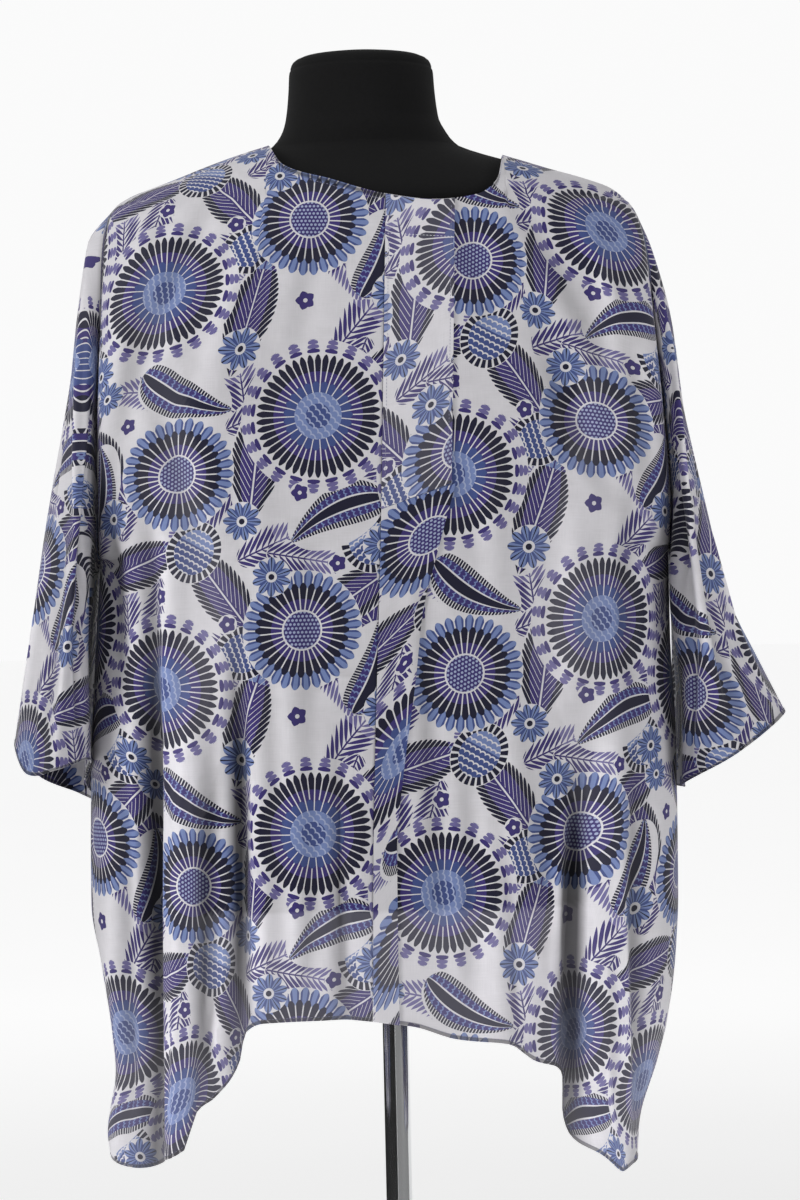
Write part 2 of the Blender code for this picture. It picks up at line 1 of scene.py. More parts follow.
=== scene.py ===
"""Looks of the printed blouse on its dress form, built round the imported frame.

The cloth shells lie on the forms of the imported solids. The tables of sections, necklines, hems,
folds and cuffs are the solids' own, in millimetres, with heights from the hem at the centre front,
but the left sleeve has one fold more. The finer creases, turned hems, stitches and seams are added
here. to_metres turns the finished points into the frame's metres.
"""

from collections import namedtuple
from math import cos, pi, radians, sin

import bpy
import numpy as np
from mathutils import Euler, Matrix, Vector
from mathutils.bvhtree import BVHTree


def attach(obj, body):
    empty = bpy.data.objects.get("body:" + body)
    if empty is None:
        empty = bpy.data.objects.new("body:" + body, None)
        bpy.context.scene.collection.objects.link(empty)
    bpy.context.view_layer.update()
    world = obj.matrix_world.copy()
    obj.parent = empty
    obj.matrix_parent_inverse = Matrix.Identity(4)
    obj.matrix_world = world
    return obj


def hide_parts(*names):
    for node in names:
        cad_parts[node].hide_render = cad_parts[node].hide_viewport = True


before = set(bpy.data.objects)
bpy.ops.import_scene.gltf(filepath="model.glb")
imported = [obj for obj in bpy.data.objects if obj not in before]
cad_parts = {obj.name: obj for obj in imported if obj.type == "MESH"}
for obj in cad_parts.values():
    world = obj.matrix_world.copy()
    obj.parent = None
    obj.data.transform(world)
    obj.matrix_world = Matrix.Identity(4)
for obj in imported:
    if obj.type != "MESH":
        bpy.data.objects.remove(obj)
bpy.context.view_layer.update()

MM = 0.001
HEM_ABOVE_FLOOR = 573.0

# Cloth
SHEET = 0.5
SEAM_GAP = 0.3
SEAM_DIP = 0.7
# Painted shade beside the armhole seam, as the depth of a trough in millimetres, and its width
ARMHOLE_SHADE_DEPTH = -7.0
ARMHOLE_SHADE_WIDTH = 5.0
HEM_WIDTH = 3.6
HEM_STEP = 0.5
HEM_RISE = 0.35
HEM_THICKNESS = 1.1
# The row where the turned hem at a shell's foot begins, and the first row below the neck's hem.
# Their stitches lie on these rows
HEM_ROW = -3
NECK_HEM_ROW = 3
LAYER_LIFT = 1.5
LAYER_THICKNESS = 1.3
# The rows of a strip are spaced as if it had this length
LAYER_LENGTH = 1000.0
UNDERARM_HEIGHT = 400.0
ARMHOLE_DEPTH = 66.0
TIP_HEIGHT = {"right": 699.0, "left": 694.0}
BODY_MIDDLE_HEIGHT = 330.0
BAND_WIDTH = 57.0
BAND_END_DROP = 18.0
BAND_END_SLANT = 20.0
BAND_TOP_INSET = 0.5
BAND_STITCH_HEIGHTS = (661.0, 657.0)
BAND_COLUMNS = 22
PLEAT_COLUMNS = 8
NECK_HEM_END = 14
# The narrow cells below a neck point, where the shell is thicker by a share
NARROW_COLUMNS = 14
NARROW_ROWS = 40
NARROW_EASE = 8.0
NARROW_EXTRA = 1.0
NORMAL_PASSES = 4
PLEAT_FOOT_WIDTH = 22.0
SIDE_SIGN = {"right": -1.0, "left": 1.0}
FACE_SIGN = {"front": -1.0, "back": 1.0}

# Grid counts of the shells, finer than the solids' own
NECK_COLUMNS = 40
SHOULDER_COLUMNS = 55
UPPER_ROWS = 72
LOWER_ROWS = 124
SLEEVE_ROWS = 110
LAYER_COLUMNS = 20
LAYER_ROWS = 110
TOP_CROWDING = 1.25
TOP_EASE = 2.4
PATH_STEPS = 160
HALVINGS = 40
SLOPE_STEP = 0.5
STEEPEST_SLOPE = 6.0

Section = namedtuple("Section", "height right left front back power")
SECTIONS = [
    Section(752, 78, 60, 66, 58, 2.0),
    Section(748, 91, 70, 70, 62, 2.0),
    Section(739, 122, 97, 77, 69, 2.0),
    Section(730, 148, 126, 84, 76, 2.0),
    Section(722, 169, 151, 89, 82, 2.0),
    Section(714, 191, 178, 94, 87, 2.0),
    Section(706, 212, 199, 98, 91, 2.0),
    Section(699, 222, 208, 101, 94, 2.05),
    Section(690, 225, 215, 105, 97, 2.1),
    Section(662, 229, 223, 114, 103, 2.2),
    Section(600, 232, 228, 129, 110, 2.4),
    Section(520, 236, 234, 138, 114, 2.6),
    Section(430, 239, 240, 138, 114, 2.6),
    Section(330, 246, 240, 135, 113, 2.6),
    Section(240, 252, 243, 133, 112, 2.6),
    Section(110, 255, 242, 131, 112, 2.6),
    Section(60, 248, 239, 130, 111, 2.5),
    Section(0, 240, 230, 128, 110, 2.5),
    Section(-30, 238, 222, 126, 109, 2.4),
    Section(-85, 246, 205, 122, 107, 2.4),
    Section(-125, 238, 202, 119, 105, 2.4),
]

Point = namedtuple("Point", "x height")
FRONT_NECKLINE = [
    Point(-91, 748),
    Point(-77, 724),
    Point(-37, 709),
    Point(6, 695.5),
    Point(48, 689.5),
    Point(82, 693.5),
    Point(100, 707),
    Point(107, 735),
]
BACK_NECKLINE = [
    Point(-91, 748),
    Point(-70, 741),
    Point(0, 734),
    Point(80, 731),
    Point(107, 735),
]
FRONT_HEM = [
    Point(-246, -104),
    Point(-224, -108),
    Point(-195, -98),
    Point(-170, -86),
    Point(-165, -56),
    Point(-152, -44),
    Point(-132, -14),
    Point(-126, 9),
    Point(-106, 18),
    Point(-45, 20),
    Point(10, 14),
    Point(43, 3),
    Point(84, -3),
    Point(104, -17),
    Point(135, -31),
    Point(143, -64),
    Point(154, -88),
    Point(168, -99),
    Point(188, -117),
    Point(204, -116),
]
BACK_HEM = [
    Point(-246, -104),
    Point(-215, -102),
    Point(-178, -80),
    Point(-158, -36),
    Point(-120, 2),
    Point(-40, 12),
    Point(50, 12),
    Point(115, -6),
    Point(140, -44),
    Point(163, -88),
    Point(190, -113),
    Point(204, -116),
]
CENTRE_LINE = [
    Point(8, 705),
    Point(-2, 432),
    Point(-15, 140),
    Point(-18, 0),
]
PLEAT_EDGE = [
    Point(59, 453),
    Point(47, 412),
    Point(30, 348),
    Point(23, 293),
    Point(12, 221),
    Point(5, 157),
    Point(4, 16),
    Point(4, -20),
]

# Long soft folds that the solids have too
Fold = namedtuple("Fold", "x_top top x_bottom bottom inner outer rise")
FRONT_FOLDS = [
    Fold(-196, 335, -208, -130, 15, 17, -17),
    Fold(-160, 330, -182, -130, 9, 14, 15),
    Fold(-124, 320, -128, -60, 15, 14, -8),
    Fold(-148, 560, -146, 400, 26, 22, 6),
    Fold(-50, 170, -36, -60, 12, 13, -6),
    Fold(78, 300, 74, -80, 26, 24, 6),
    Fold(155, 230, 140, -130, 12, 9, -14),
    Fold(176, 330, 172, -130, 14, 16, 11),
    Fold(-70, 640, -120, 470, 26, 26, -4),
    Fold(110, 640, 170, 430, 26, 24, -5),
]
BACK_FOLDS = [
    Fold(-170, 420, -196, -130, 15, 16, -13),
    Fold(-128, 560, -160, -130, 18, 14, 10),
    Fold(-70, 470, -84, -120, 22, 22, -8),
    Fold(-18, 520, -14, -120, 24, 24, 7),
    Fold(58, 500, 52, -120, 20, 20, -8),
    Fold(112, 560, 128, -130, 18, 15, 9),
    Fold(160, 430, 168, -130, 15, 15, -12),
]
FOLD_RAMP = 150.0
FOLD_EDGE = 14.0
# How far beside a point its neighbours lie, and how much they count, when its hollow is measured for the
# painted shade in valleys and painted highlight on ridges
HOLLOW_REACH = 14.0
HOLLOW_COLUMNS = 3
HOLLOW_SHARE = 0.8

# Finer creases, each from one point to another, with how far its middle bows sideways
Crease = namedtuple("Crease", "x_start start x_end end bow width rise")
FRONT_CREASES = [
    Crease(-130, 706, -212, 500, 12, 11, -4.8),
    Crease(-84, 700, -150, 500, 10, 13, 3.5),
    Crease(-176, 690, -222, 470, 6, 8, -3.8),
    Crease(-40, 690, -70, 560, 4, 10, -2.2),
    Crease(-206, 560, -150, 380, -8, 9, -3.2),
    Crease(-226, 500, -214, 250, 4, 7, -4.2),
    Crease(-190, 470, -180, 330, -4, 9, 3.8),
    Crease(-110, 520, -96, 330, 6, 12, 2.9),
    Crease(-60, 430, -64, 230, 3, 10, -2.9),
    Crease(-88, 330, -84, 30, -5, 9, 3.8),
    Crease(-142, 250, -146, 10, 4, 6, -4.2),
    Crease(-222, 240, -230, -90, -4, 6, -4.8),
    Crease(-64, 150, -70, 22, 2, 6, -2.9),
    Crease(-104, 120, -110, 20, 3, 6, 3.2),
    Crease(66, 704, 96, 560, 5, 12, -2.9),
    Crease(98, 702, 196, 500, -12, 12, -5.1),
    Crease(150, 690, 214, 520, -8, 9, 3.8),
    Crease(190, 640, 218, 430, -3, 7, -4.2),
    Crease(126, 590, 196, 420, 7, 10, -3.2),
    Crease(72, 520, 84, 330, -4, 11, 2.9),
    Crease(204, 470, 200, 260, 4, 8, -3.8),
    Crease(148, 440, 140, 260, -5, 11, 3.5),
    Crease(30, 400, 40, 60, 3, 7, -3.5),
    Crease(62, 250, 58, -2, -3, 7, -3.8),
    Crease(98, 300, 108, -24, 4, 8, 3.5),
    Crease(122, 210, 124, -34, -3, 6, -3.5),
    Crease(206, 250, 200, -100, 4, 7, -4.5),
    Crease(186, 120, 190, -110, -2, 5, 3.2),
    Crease(-52, 306, -12, 300, 2, 3, -1.4),
    Crease(-46, 297, -14, 294, -1, 2.5, 1.3),
    Crease(-60, 436, -8, 428, 2, 3, -1.3),
    Crease(62, 424, 108, 434, -2, 4, -1.4),
    Crease(-190, 440, -205, -88, 2, 8, -9.5),
    Crease(-176, 420, -194, -92, 2, 5.5, 5.5),
    Crease(-214, 330, -222, -60, -3, 6, 3.0),
    Crease(-125, 350, -131, -10, -4, 7, -8.0),
    Crease(-113, 340, -118, 12, -3, 5, 4.5),
    Crease(-153, 200, -158, -30, 2, 5, -4.5),
    Crease(-147, 60, -157, -46, 1, 3, -3.2),
    Crease(-140, 70, -148, -38, 1, 3, 2.6),
    Crease(-134, 76, -139, -24, 1, 3, -3.0),
    Crease(-178, 50, -184, -92, 2, 4, -4.0),
    Crease(-230, 90, -232, -104, -2, 5, -4.5),
    Crease(-41, 270, -39, 22, 2, 4.5, -4.5),
    Crease(-33, 250, -32, 24, 2, 4, 2.5),
    Crease(152, 230, 147, -76, 2, 6, -7.0),
    Crease(164, 220, 160, -90, 2, 6, 4.5),
    Crease(174, 90, 178, -106, 2, 5, -5.0),
    Crease(134, 120, 137, -36, 1, 4, -3.5),
    Crease(92, 160, 96, -8, -2, 5, -4.0),
]
BACK_CREASES = [
    Crease(-120, 716, -208, 510, 12, 12, -4.8),
    Crease(-60, 716, -90, 500, 6, 13, 3.2),
    Crease(10, 712, -4, 540, -4, 12, -2.9),
    Crease(70, 710, 108, 500, -6, 13, 3.5),
    Crease(130, 704, 204, 500, -11, 11, -4.8),
    Crease(-200, 520, -176, 300, -6, 9, -3.5),
    Crease(-40, 430, -44, 180, 5, 10, -3.2),
    Crease(24, 400, 18, 120, -4, 10, 3.2),
    Crease(86, 430, 96, 200, 4, 9, -3.5),
    Crease(188, 500, 196, 240, 5, 8, -4.2),
    Crease(-106, 260, -112, 10, -3, 8, -3.8),
    Crease(-146, 200, -150, -10, 3, 6, 3.5),
    Crease(-50, 150, -52, 14, 2, 6, 3.2),
    Crease(80, 190, 84, 6, -3, 7, 3.2),
    Crease(138, 170, 146, -30, 3, 6, -3.5),
    Crease(-214, 260, -222, -90, -3, 7, -4.5),
    Crease(196, 210, 192, -100, 3, 7, -4.5),
    Crease(-30, 700, 46, 697, 3, 4, -1.6),
]

CuffPoint = namedtuple("CuffPoint", "x y height")
CUFFS = {
    "right": [
        CuffPoint(-318, 0, 247),
        CuffPoint(-303, -60, 223),
        CuffPoint(-275, -92, 227),
        CuffPoint(-249, -64, 234),
        CuffPoint(-259, 0, 212),
        CuffPoint(-251, 60, 192),
        CuffPoint(-276, 88, 200),
        CuffPoint(-304, 56, 215),
    ],
    "left": [
        CuffPoint(337, 0, 259),
        CuffPoint(320, -58, 249),
        CuffPoint(284, -88, 226),
        CuffPoint(246, -62, 204),
        CuffPoint(250, 0, 197),
        CuffPoint(247, 62, 199),
        CuffPoint(284, 86, 219),
        CuffPoint(321, 56, 243),
    ],
}
SleeveBulge = namedtuple("SleeveBulge", "share right_outer left_outer inner depth")
SLEEVE_BULGE = [
    SleeveBulge(0.0, 0, 0, 0, 0),
    SleeveBulge(0.06, 16, 4, 2, 7),
    SleeveBulge(0.14, 15, 5, 3, 12),
    SleeveBulge(0.36, 9, -8, 3, 20),
    SleeveBulge(0.56, 8, -14, 3, 21),
    SleeveBulge(0.78, 4, -18, 2, 13),
    SleeveBulge(0.9, 2, -9, 1, 6),
    SleeveBulge(1.0, 0, 0, 0, 0),
]
SleeveFold = namedtuple("SleeveFold", "turn start end half_turn rise")
SLEEVE_FOLDS = {
    "right": [
        SleeveFold(0.17, 0.35, 1.1, 0.045, -7),
        SleeveFold(0.33, 0.15, 0.8, 0.05, -8),
        SleeveFold(0.83, 0.3, 1.1, 0.05, -7),
        SleeveFold(0.68, 0.1, 0.8, 0.05, -8),
    ],
    "left": [
        SleeveFold(0.2, 0.45, 1.0, 0.05, -12),
        SleeveFold(0.34, 0.1, 0.85, 0.045, -9),
        SleeveFold(0.8, 0.4, 1.1, 0.05, -9),
        SleeveFold(0.67, 0.1, 0.8, 0.05, -8),
        SleeveFold(0.42, 0.10, 0.62, 0.05, 8),
    ],
}
# Finer creases of a sleeve, by shares of a turn and of its length; both sleeves have them, the
# left one turned a little
SleeveCrease = namedtuple("SleeveCrease", "turn_start start turn_end end width rise")
SLEEVE_CREASES = [
    SleeveCrease(0.04, 0.10, 0.10, 0.62, 10, -4.2),
    SleeveCrease(0.12, 0.05, 0.26, 0.52, 11, 4.2),
    SleeveCrease(0.24, 0.10, 0.36, 0.46, 9, -3.8),
    SleeveCrease(0.10, 0.55, 0.06, 0.98, 9, 3.8),
    SleeveCrease(0.26, 0.50, 0.24, 0.98, 9, 3.5),
    SleeveCrease(0.30, 0.62, 0.33, 0.96, 7, -3.8),
    SleeveCrease(0.14, 0.74, 0.16, 1.0, 6, 2.9),
    SleeveCrease(0.42, 0.15, 0.44, 0.80, 10, -3.8),
    SleeveCrease(0.58, 0.15, 0.55, 0.85, 10, -3.8),
    SleeveCrease(0.90, 0.06, 0.80, 0.56, 11, -4.2),
    SleeveCrease(0.78, 0.10, 0.72, 0.50, 9, 3.8),
    SleeveCrease(0.74, 0.55, 0.76, 0.98, 8, 3.5),
    SleeveCrease(0.92, 0.50, 0.88, 0.98, 9, 3.8),
    SleeveCrease(0.97, 0.14, 0.95, 0.70, 10, 2.9),
]
SLEEVE_TURN_LENGTH = 560.0
SLEEVE_SLANT = 1.04
SLEEVE_LENGTH = 450.0
LEFT_SLEEVE_SHIFT = 0.025
SLEEVE_PRINT_SHIFT = {"right": (0.135, 0.04), "left": (0.20, -0.05)}
BACK_PRINT_SHIFT = (0.071, 0.127)
BAND_PRINT_SHIFT = (0.113, 0.082)
PLEAT_PRINT_SHIFT = (0.034, -0.061)
# Edges that turn by more than these angles look sharp, on cloth and on the other pieces
SHARP_CLOTH = radians(50)
SHARP_PART = radians(40)

# A made cloth piece, with the grid of its outer points and their directions
Panel = namedtuple("Panel", "piece grid normals")

FormSection = namedtuple("FormSection", "height middle width front back")
FORM_SECTIONS = [
    FormSection(108, 0, 166, 104, 96),
    FormSection(115, 0, 171, 109, 100),
    FormSection(150, 0, 170, 108, 101),
    FormSection(200, 0, 160, 103, 97),
    FormSection(250, 0, 145, 98, 91),
    FormSection(300, 0, 130, 94, 85),
    FormSection(345, 0, 123, 92, 82),
    FormSection(400, 0, 133, 102, 86),
    FormSection(450, 0, 151, 117, 93),
    FormSection(500, 0, 166, 127, 99),
    FormSection(550, 0, 174, 122, 102),
    FormSection(600, -1, 186, 112, 102),
    FormSection(650, -2, 199, 101, 97),
    FormSection(680, -4, 203, 97, 90),
    FormSection(695, -5, 203, 95, 88),
    FormSection(704, -5, 197, 90, 83),
    FormSection(712, -5, 178, 84, 77),
    FormSection(720, -6, 155, 78, 71),
    FormSection(728, -9, 132, 72, 65),
    FormSection(736, -10, 105, 67, 60),
    FormSection(745, -10, 81, 63, 56),
    FormSection(756, -10, 71, 63, 59),
    FormSection(770, -11, 65, 61, 58),
    FormSection(795, -11, 62, 60, 57),
    FormSection(810, -11, 61, 59, 56),
    FormSection(818, -11, 58, 56, 53),
    FormSection(822, -11, 51, 49, 47),
    FormSection(824, -11, 38, 37, 35),
]
FORM_SIDES = 128
FORM_RING_STEP = 4.0
CAP_HEIGHT = 812.0
CAP_GROOVE = 0.7
CAP_GROOVE_WIDTH = 1.6
CAP_RINGS = (-1.5, -0.75, 0.0, 0.75, 1.5)


def curve(xs, ys):
    """A smooth curve through points that never overshoots them."""
    order = np.argsort(xs)
    x = np.array(xs, float)[order]
    y = np.array(ys, float)[order]
    step = np.diff(x)
    slope = np.diff(y) / step
    tangent = np.zeros_like(y)
    tangent[0], tangent[-1] = slope[0], slope[-1]
    for i in range(1, len(y) - 1):
        if slope[i - 1] * slope[i] > 0:
            before = 2 * step[i] + step[i - 1]
            after = step[i] + 2 * step[i - 1]
            tangent[i] = (before + after) / (before / slope[i - 1] + after / slope[i])

    def at(value):
        v = np.clip(value, x[0], x[-1])
        i = np.clip(np.searchsorted(x, v) - 1, 0, len(x) - 2)
        t = (v - x[i]) / step[i]
        return (
            y[i] * (1 + 2 * t) * (1 - t) ** 2
            + tangent[i] * step[i] * t * (1 - t) ** 2
            + y[i + 1] * t * t * (3 - 2 * t)
            + tangent[i + 1] * step[i] * t * t * (t - 1)
        )

    return at


def column(rows, x_name, y_name):
    return curve([getattr(row, x_name) for row in rows], [getattr(row, y_name) for row in rows])


HALF_WIDTH = {side: column(SECTIONS, "height", side) for side in SIDE_SIGN}
DEPTH = {face: column(SECTIONS, "height", face) for face in FACE_SIGN}
POWER = column(SECTIONS, "height", "power")
NECKLINE = {
    "front": column(FRONT_NECKLINE, "x", "height"),
    "back": column(BACK_NECKLINE, "x", "height"),
}
HEM = {"front": column(FRONT_HEM, "x", "height"), "back": column(BACK_HEM, "x", "height")}
CENTRE_X = column(CENTRE_LINE, "height", "x")
PLEAT_X = column(PLEAT_EDGE, "height", "x")
FOLDS = {"front": FRONT_FOLDS, "back": BACK_FOLDS}
CREASES = {"front": FRONT_CREASES, "back": BACK_CREASES}
NECK_POINT = {"right": -FRONT_NECKLINE[0].x, "left": FRONT_NECKLINE[-1].x}
LOWEST_HEM = SECTIONS[-1].height


def smoothstep(value):
    t = np.clip(value, 0.0, 1.0)
    return t * t * (3 - 2 * t)


def bell(value):
    """1 at nought, falling smoothly away on both sides."""
    return np.exp(-(value**2))


def by_side(x, of_side):
    """A value of each point's own side of the axis."""
    return np.where(x < 0, of_side("right"), of_side("left"))


def armhole_depth(x, height):
    def of_side(side):
        middle = (TIP_HEIGHT[side] + UNDERARM_HEIGHT) / 2
        reach = (TIP_HEIGHT[side] - UNDERARM_HEIGHT) / 2
        return ARMHOLE_DEPTH * np.sqrt(np.clip(1 - ((height - middle) / reach) ** 2, 0, 1))

    return by_side(x, of_side)


def depth_at(face, x, height):
    """How far the cloth lies in front of or behind the axis."""
    width = by_side(x, lambda side: HALF_WIDTH[side](height))
    edge = armhole_depth(x, height)
    power = POWER(height)
    share = np.clip(np.abs(x) / width, 0, 1)
    return edge + (DEPTH[face](height) - edge) * (1 - share**power) ** (1 / power)


def lengths_along(path, axis=0):
    """Running length of a path, starting with 0."""
    steps = np.linalg.norm(np.diff(path, axis=axis), axis=-1)
    shape = list(steps.shape)
    shape[axis] = 1
    return np.concatenate([np.zeros(shape), np.cumsum(steps, axis=axis)], axis=axis)


def neckline_shares(side, face):
    """Shares of the way to the shoulder tip at even steps along the neckline."""
    sign = SIDE_SIGN[side]
    centre = float(CENTRE_X(TIP_HEIGHT[side]))
    ease = 1 - (1 - np.linspace(0, 1, PATH_STEPS)) ** 3
    xs = centre + (sign * NECK_POINT[side] - centre) * ease
    heights = NECKLINE[face](xs)
    lengths = lengths_along(np.stack([xs, depth_at(face, xs, heights), heights], axis=1))
    even = np.interp(np.linspace(0, lengths[-1], PATH_STEPS), lengths, xs)
    tip = sign * float(HALF_WIDTH[side](TIP_HEIGHT[side]))
    return (even - centre) / (tip - centre)


def top_share(side, face, k):
    """How far towards the shoulder tip each column k, from 0 to 1, starts."""
    neck = NECK_COLUMNS / (NECK_COLUMNS + SHOULDER_COLUMNS)
    shares = neckline_shares(side, face)
    along_neck = np.interp(k / neck, np.linspace(0, 1, len(shares)), shares)
    along_shoulder = shares[-1] + (1 - shares[-1]) * (k - neck) / (1 - neck)
    return np.where(k < neck, along_neck, along_shoulder)


def column_x(side, k, share, height):
    """Distance from the axis of column k, whose top starts at a share, at heights."""
    level = np.minimum(height, TIP_HEIGHT[side])
    turned = smoothstep((TIP_HEIGHT[side] - level) / (TIP_HEIGHT[side] - UNDERARM_HEIGHT))
    spread = (1 - turned) * share + turned * np.sin(k * pi / 2)
    centre = CENTRE_X(level)
    return centre + (SIDE_SIGN[side] * HALF_WIDTH[side](level) - centre) * spread


def shoulder_height(side, x):
    """Height of the shoulder line over points, found by halving."""
    low = np.full_like(x, TIP_HEIGHT[side])
    high = np.full_like(x, SECTIONS[0].height)
    for _ in range(HALVINGS):
        middle = (low + high) / 2
        wide = HALF_WIDTH[side](middle) > np.abs(x)
        low = np.where(wide, middle, low)
        high = np.where(wide, high, middle)
    return (low + high) / 2


def fold_rise(face, x, height):
    """How far the long folds move the cloth outwards."""
    total = np.zeros_like(x)
    for fold in FOLDS[face]:
        along = (fold.top - height) / (fold.top - fold.bottom)
        middle = fold.x_top + (fold.x_bottom - fold.x_top) * np.clip(along, 0, 1)
        away = (x - middle) * np.where(middle < 0, -1.0, 1.0)
        reach = np.where(away > 0, fold.outer, fold.inner)
        strength = smoothstep((fold.top - height) / FOLD_RAMP)
        if fold.bottom > 0:
            strength = strength * smoothstep(2 * (height - fold.bottom) / FOLD_RAMP)
        total += fold.rise * strength * bell(away / reach)
    return total


def segment_rise(x, y, start, end, bow, width, rise):
    """The rise of one crease between two points, which fades out towards its ends."""
    way = np.array(end, float) - start
    length = np.hypot(*way)
    along = ((x - start[0]) * way[0] + (y - start[1]) * way[1]) / length**2
    inside = np.clip(along, 0, 1)
    taper = np.clip(4 * inside * (1 - inside), 0, 1)
    across = ((x - start[0]) * way[1] - (y - start[1]) * way[0]) / length - bow * taper
    return rise * taper * bell(across / width)


def crease_rise(face, x, height):
    total = np.zeros_like(x)
    for c in CREASES[face]:
        start, end = (c.x_start, c.start), (c.x_end, c.end)
        total += segment_rise(x, height, start, end, c.bow, c.width, c.rise)
    return total


def relief(side, face, x, height):
    """How far the folds and creases together move the cloth outwards."""
    edge = smoothstep((HALF_WIDTH[side](height) - np.abs(x)) / FOLD_EDGE)
    fade = np.where(height > UNDERARM_HEIGHT, 1.0, edge)
    return fold_rise(face, x, height) * fade + crease_rise(face, x, height) * edge


def hollow(side, face, x, height):
    """How far the cloth stands out from what lies beside it, below zero in a valley: the depth of painted
    shade, and of painted highlight above zero.
    """
    left = relief(side, face, x - HOLLOW_REACH, height)
    right = relief(side, face, x + HOLLOW_REACH, height)
    return relief(side, face, x, height) - HOLLOW_SHARE * (left + right) / 2


def surface(side, face, x, height, lift=0.0):
    """Points on the hanging cloth, with its folds and creases, moved out by a lift."""
    depth = depth_at(face, x, height)
    slope = (depth_at(face, x + SLOPE_STEP, height) - depth) / SLOPE_STEP
    slope = np.clip(slope, -STEEPEST_SLOPE, STEEPEST_SLOPE)
    length = np.sqrt(1 + slope * slope)
    rise = relief(side, face, x, height) + lift
    return np.stack([x - slope / length * rise, FACE_SIGN[face] * (depth + rise / length), height], -1)


def hem_rows(top, hem, rows):
    """Heights down to a hem, with the last three rows on the hem's turned edge."""
    even = np.linspace(top, hem + HEM_WIDTH, rows - 2)
    return np.concatenate([even, [hem + HEM_WIDTH - HEM_STEP, hem + HEM_STEP, hem]])


def row_shares(length, rows):
    """How far down each row lies, from 0 to 1, on a piece of some length with a hem at its foot."""
    return 1 - hem_rows(length, 0.0, rows) / length


def half_grid(side, face):
    """Outer points of half a panel, rows down and columns from the centre line to the side, and the depth
    of their painted fold shade.
    """
    ks = np.linspace(0, 1, NECK_COLUMNS + SHOULDER_COLUMNS + 1)
    shares = top_share(side, face, ks)
    top_x = column_x(side, ks, shares, np.full_like(ks, TIP_HEIGHT[side]))
    neck = (top_x > -NECK_POINT["right"]) & (top_x < NECK_POINT["left"])
    tops = np.where(neck, NECKLINE[face](top_x), shoulder_height(side, top_x))
    ease = np.linspace(0, 1, PATH_STEPS)[:, None] ** TOP_EASE
    heights = tops - (tops - UNDERARM_HEIGHT) * ease
    path = surface(side, face, column_x(side, ks, shares, heights), heights)
    lengths = lengths_along(path)
    rows = np.linspace(0, 1, UPPER_ROWS + 1) ** TOP_CROWDING
    hems = HEM[face](column_x(side, ks, shares, np.full_like(ks, LOWEST_HEM / 2)))
    columns = []
    for c in range(len(ks)):
        upper = np.interp(rows * lengths[-1, c], lengths[:, c], heights[:, c])
        lower = hem_rows(UNDERARM_HEIGHT, hems[c], LOWER_ROWS)
        columns.append(np.concatenate([upper, lower[1:]]))
    heights = np.array(columns).T
    x = column_x(side, ks, shares, heights)
    grid = surface(side, face, x, heights)
    half_gap = FACE_SIGN[face] * SEAM_GAP / 2
    grid[0, NECK_COLUMNS:, 1] = half_gap
    grid[UPPER_ROWS:, -1, 1] = half_gap
    return grid, hollow(side, face, x, heights)


def averaged(values, axis, ends):
    """Values evened out with their neighbours along one axis."""
    padding = [(0, 0)] * values.ndim
    padding[axis] = (1, 1)
    padded = np.pad(values, padding, mode=ends)
    count = values.shape[axis]
    before = np.take(padded, range(count), axis)
    after = np.take(padded, range(2, count + 2), axis)
    return (before + 2 * values + after) / 4


def grid_normals(grid, closed=False):
    """Unit directions away from the cloth's hollow side, evened out where cells are narrow."""
    if closed:
        across = np.roll(grid, -1, axis=1) - np.roll(grid, 1, axis=1)
    else:
        across = np.gradient(grid, axis=1)
    normals = np.cross(across, np.gradient(grid, axis=0))
    normals /= np.linalg.norm(normals, axis=2, keepdims=True)
    for _ in range(NORMAL_PASSES):
        normals = averaged(averaged(normals, 0, "edge"), 1, "wrap" if closed else "edge")
        normals /= np.linalg.norm(normals, axis=2, keepdims=True)
    body_middle = np.array([0.0, 0.0, BODY_MIDDLE_HEIGHT])
    middle = grid.mean(axis=1, keepdims=True) if closed else body_middle
    if (normals * (grid - middle)).sum() < 0:
        normals = -normals
    return normals


def flatten_normals(normals, rows, columns, axis):
    """Turn the directions along a seam into the seam's own plane."""
    normals[rows, columns, axis] = 0.0
    normals[rows, columns] /= np.linalg.norm(normals[rows, columns], axis=-1, keepdims=True)


def thicken(thickness, neck_column):
    """Make the shell thicker where its cells are narrow, below a neck point."""
    aside = np.abs(np.arange(thickness.shape[1]) - neck_column)
    near = smoothstep((NARROW_COLUMNS - aside) / NARROW_EASE)
    down = np.arange(thickness.shape[0])
    near = near * smoothstep((NARROW_ROWS - down) / NARROW_EASE)[:, None]
    thickness *= 1 + NARROW_EXTRA * near


def panel_normals(grid, side_columns):
    normals = grid_normals(grid)
    for edge, shoulder in side_columns:
        flatten_normals(normals, slice(UPPER_ROWS, None), edge, 1)
        flatten_normals(normals, 0, shoulder, 1)
    return normals


def flat_map(grid, datum_row):
    """Each point's place on the flat cloth, in metres: across from the first column and up."""
    down = np.gradient(grid, axis=0)
    down /= np.linalg.norm(down, axis=2, keepdims=True)
    steps = np.diff(grid, axis=1)
    middle_down = (down[:, 1:] + down[:, :-1]) / 2
    steps = steps - (steps * middle_down).sum(axis=2, keepdims=True) * middle_down
    across = np.cumsum(np.linalg.norm(steps, axis=2), axis=1)
    across = np.concatenate([np.zeros((len(grid), 1)), across], axis=1)
    lengths = lengths_along(grid)
    up = lengths[datum_row] - lengths
    return np.stack([across, up], axis=2) * MM


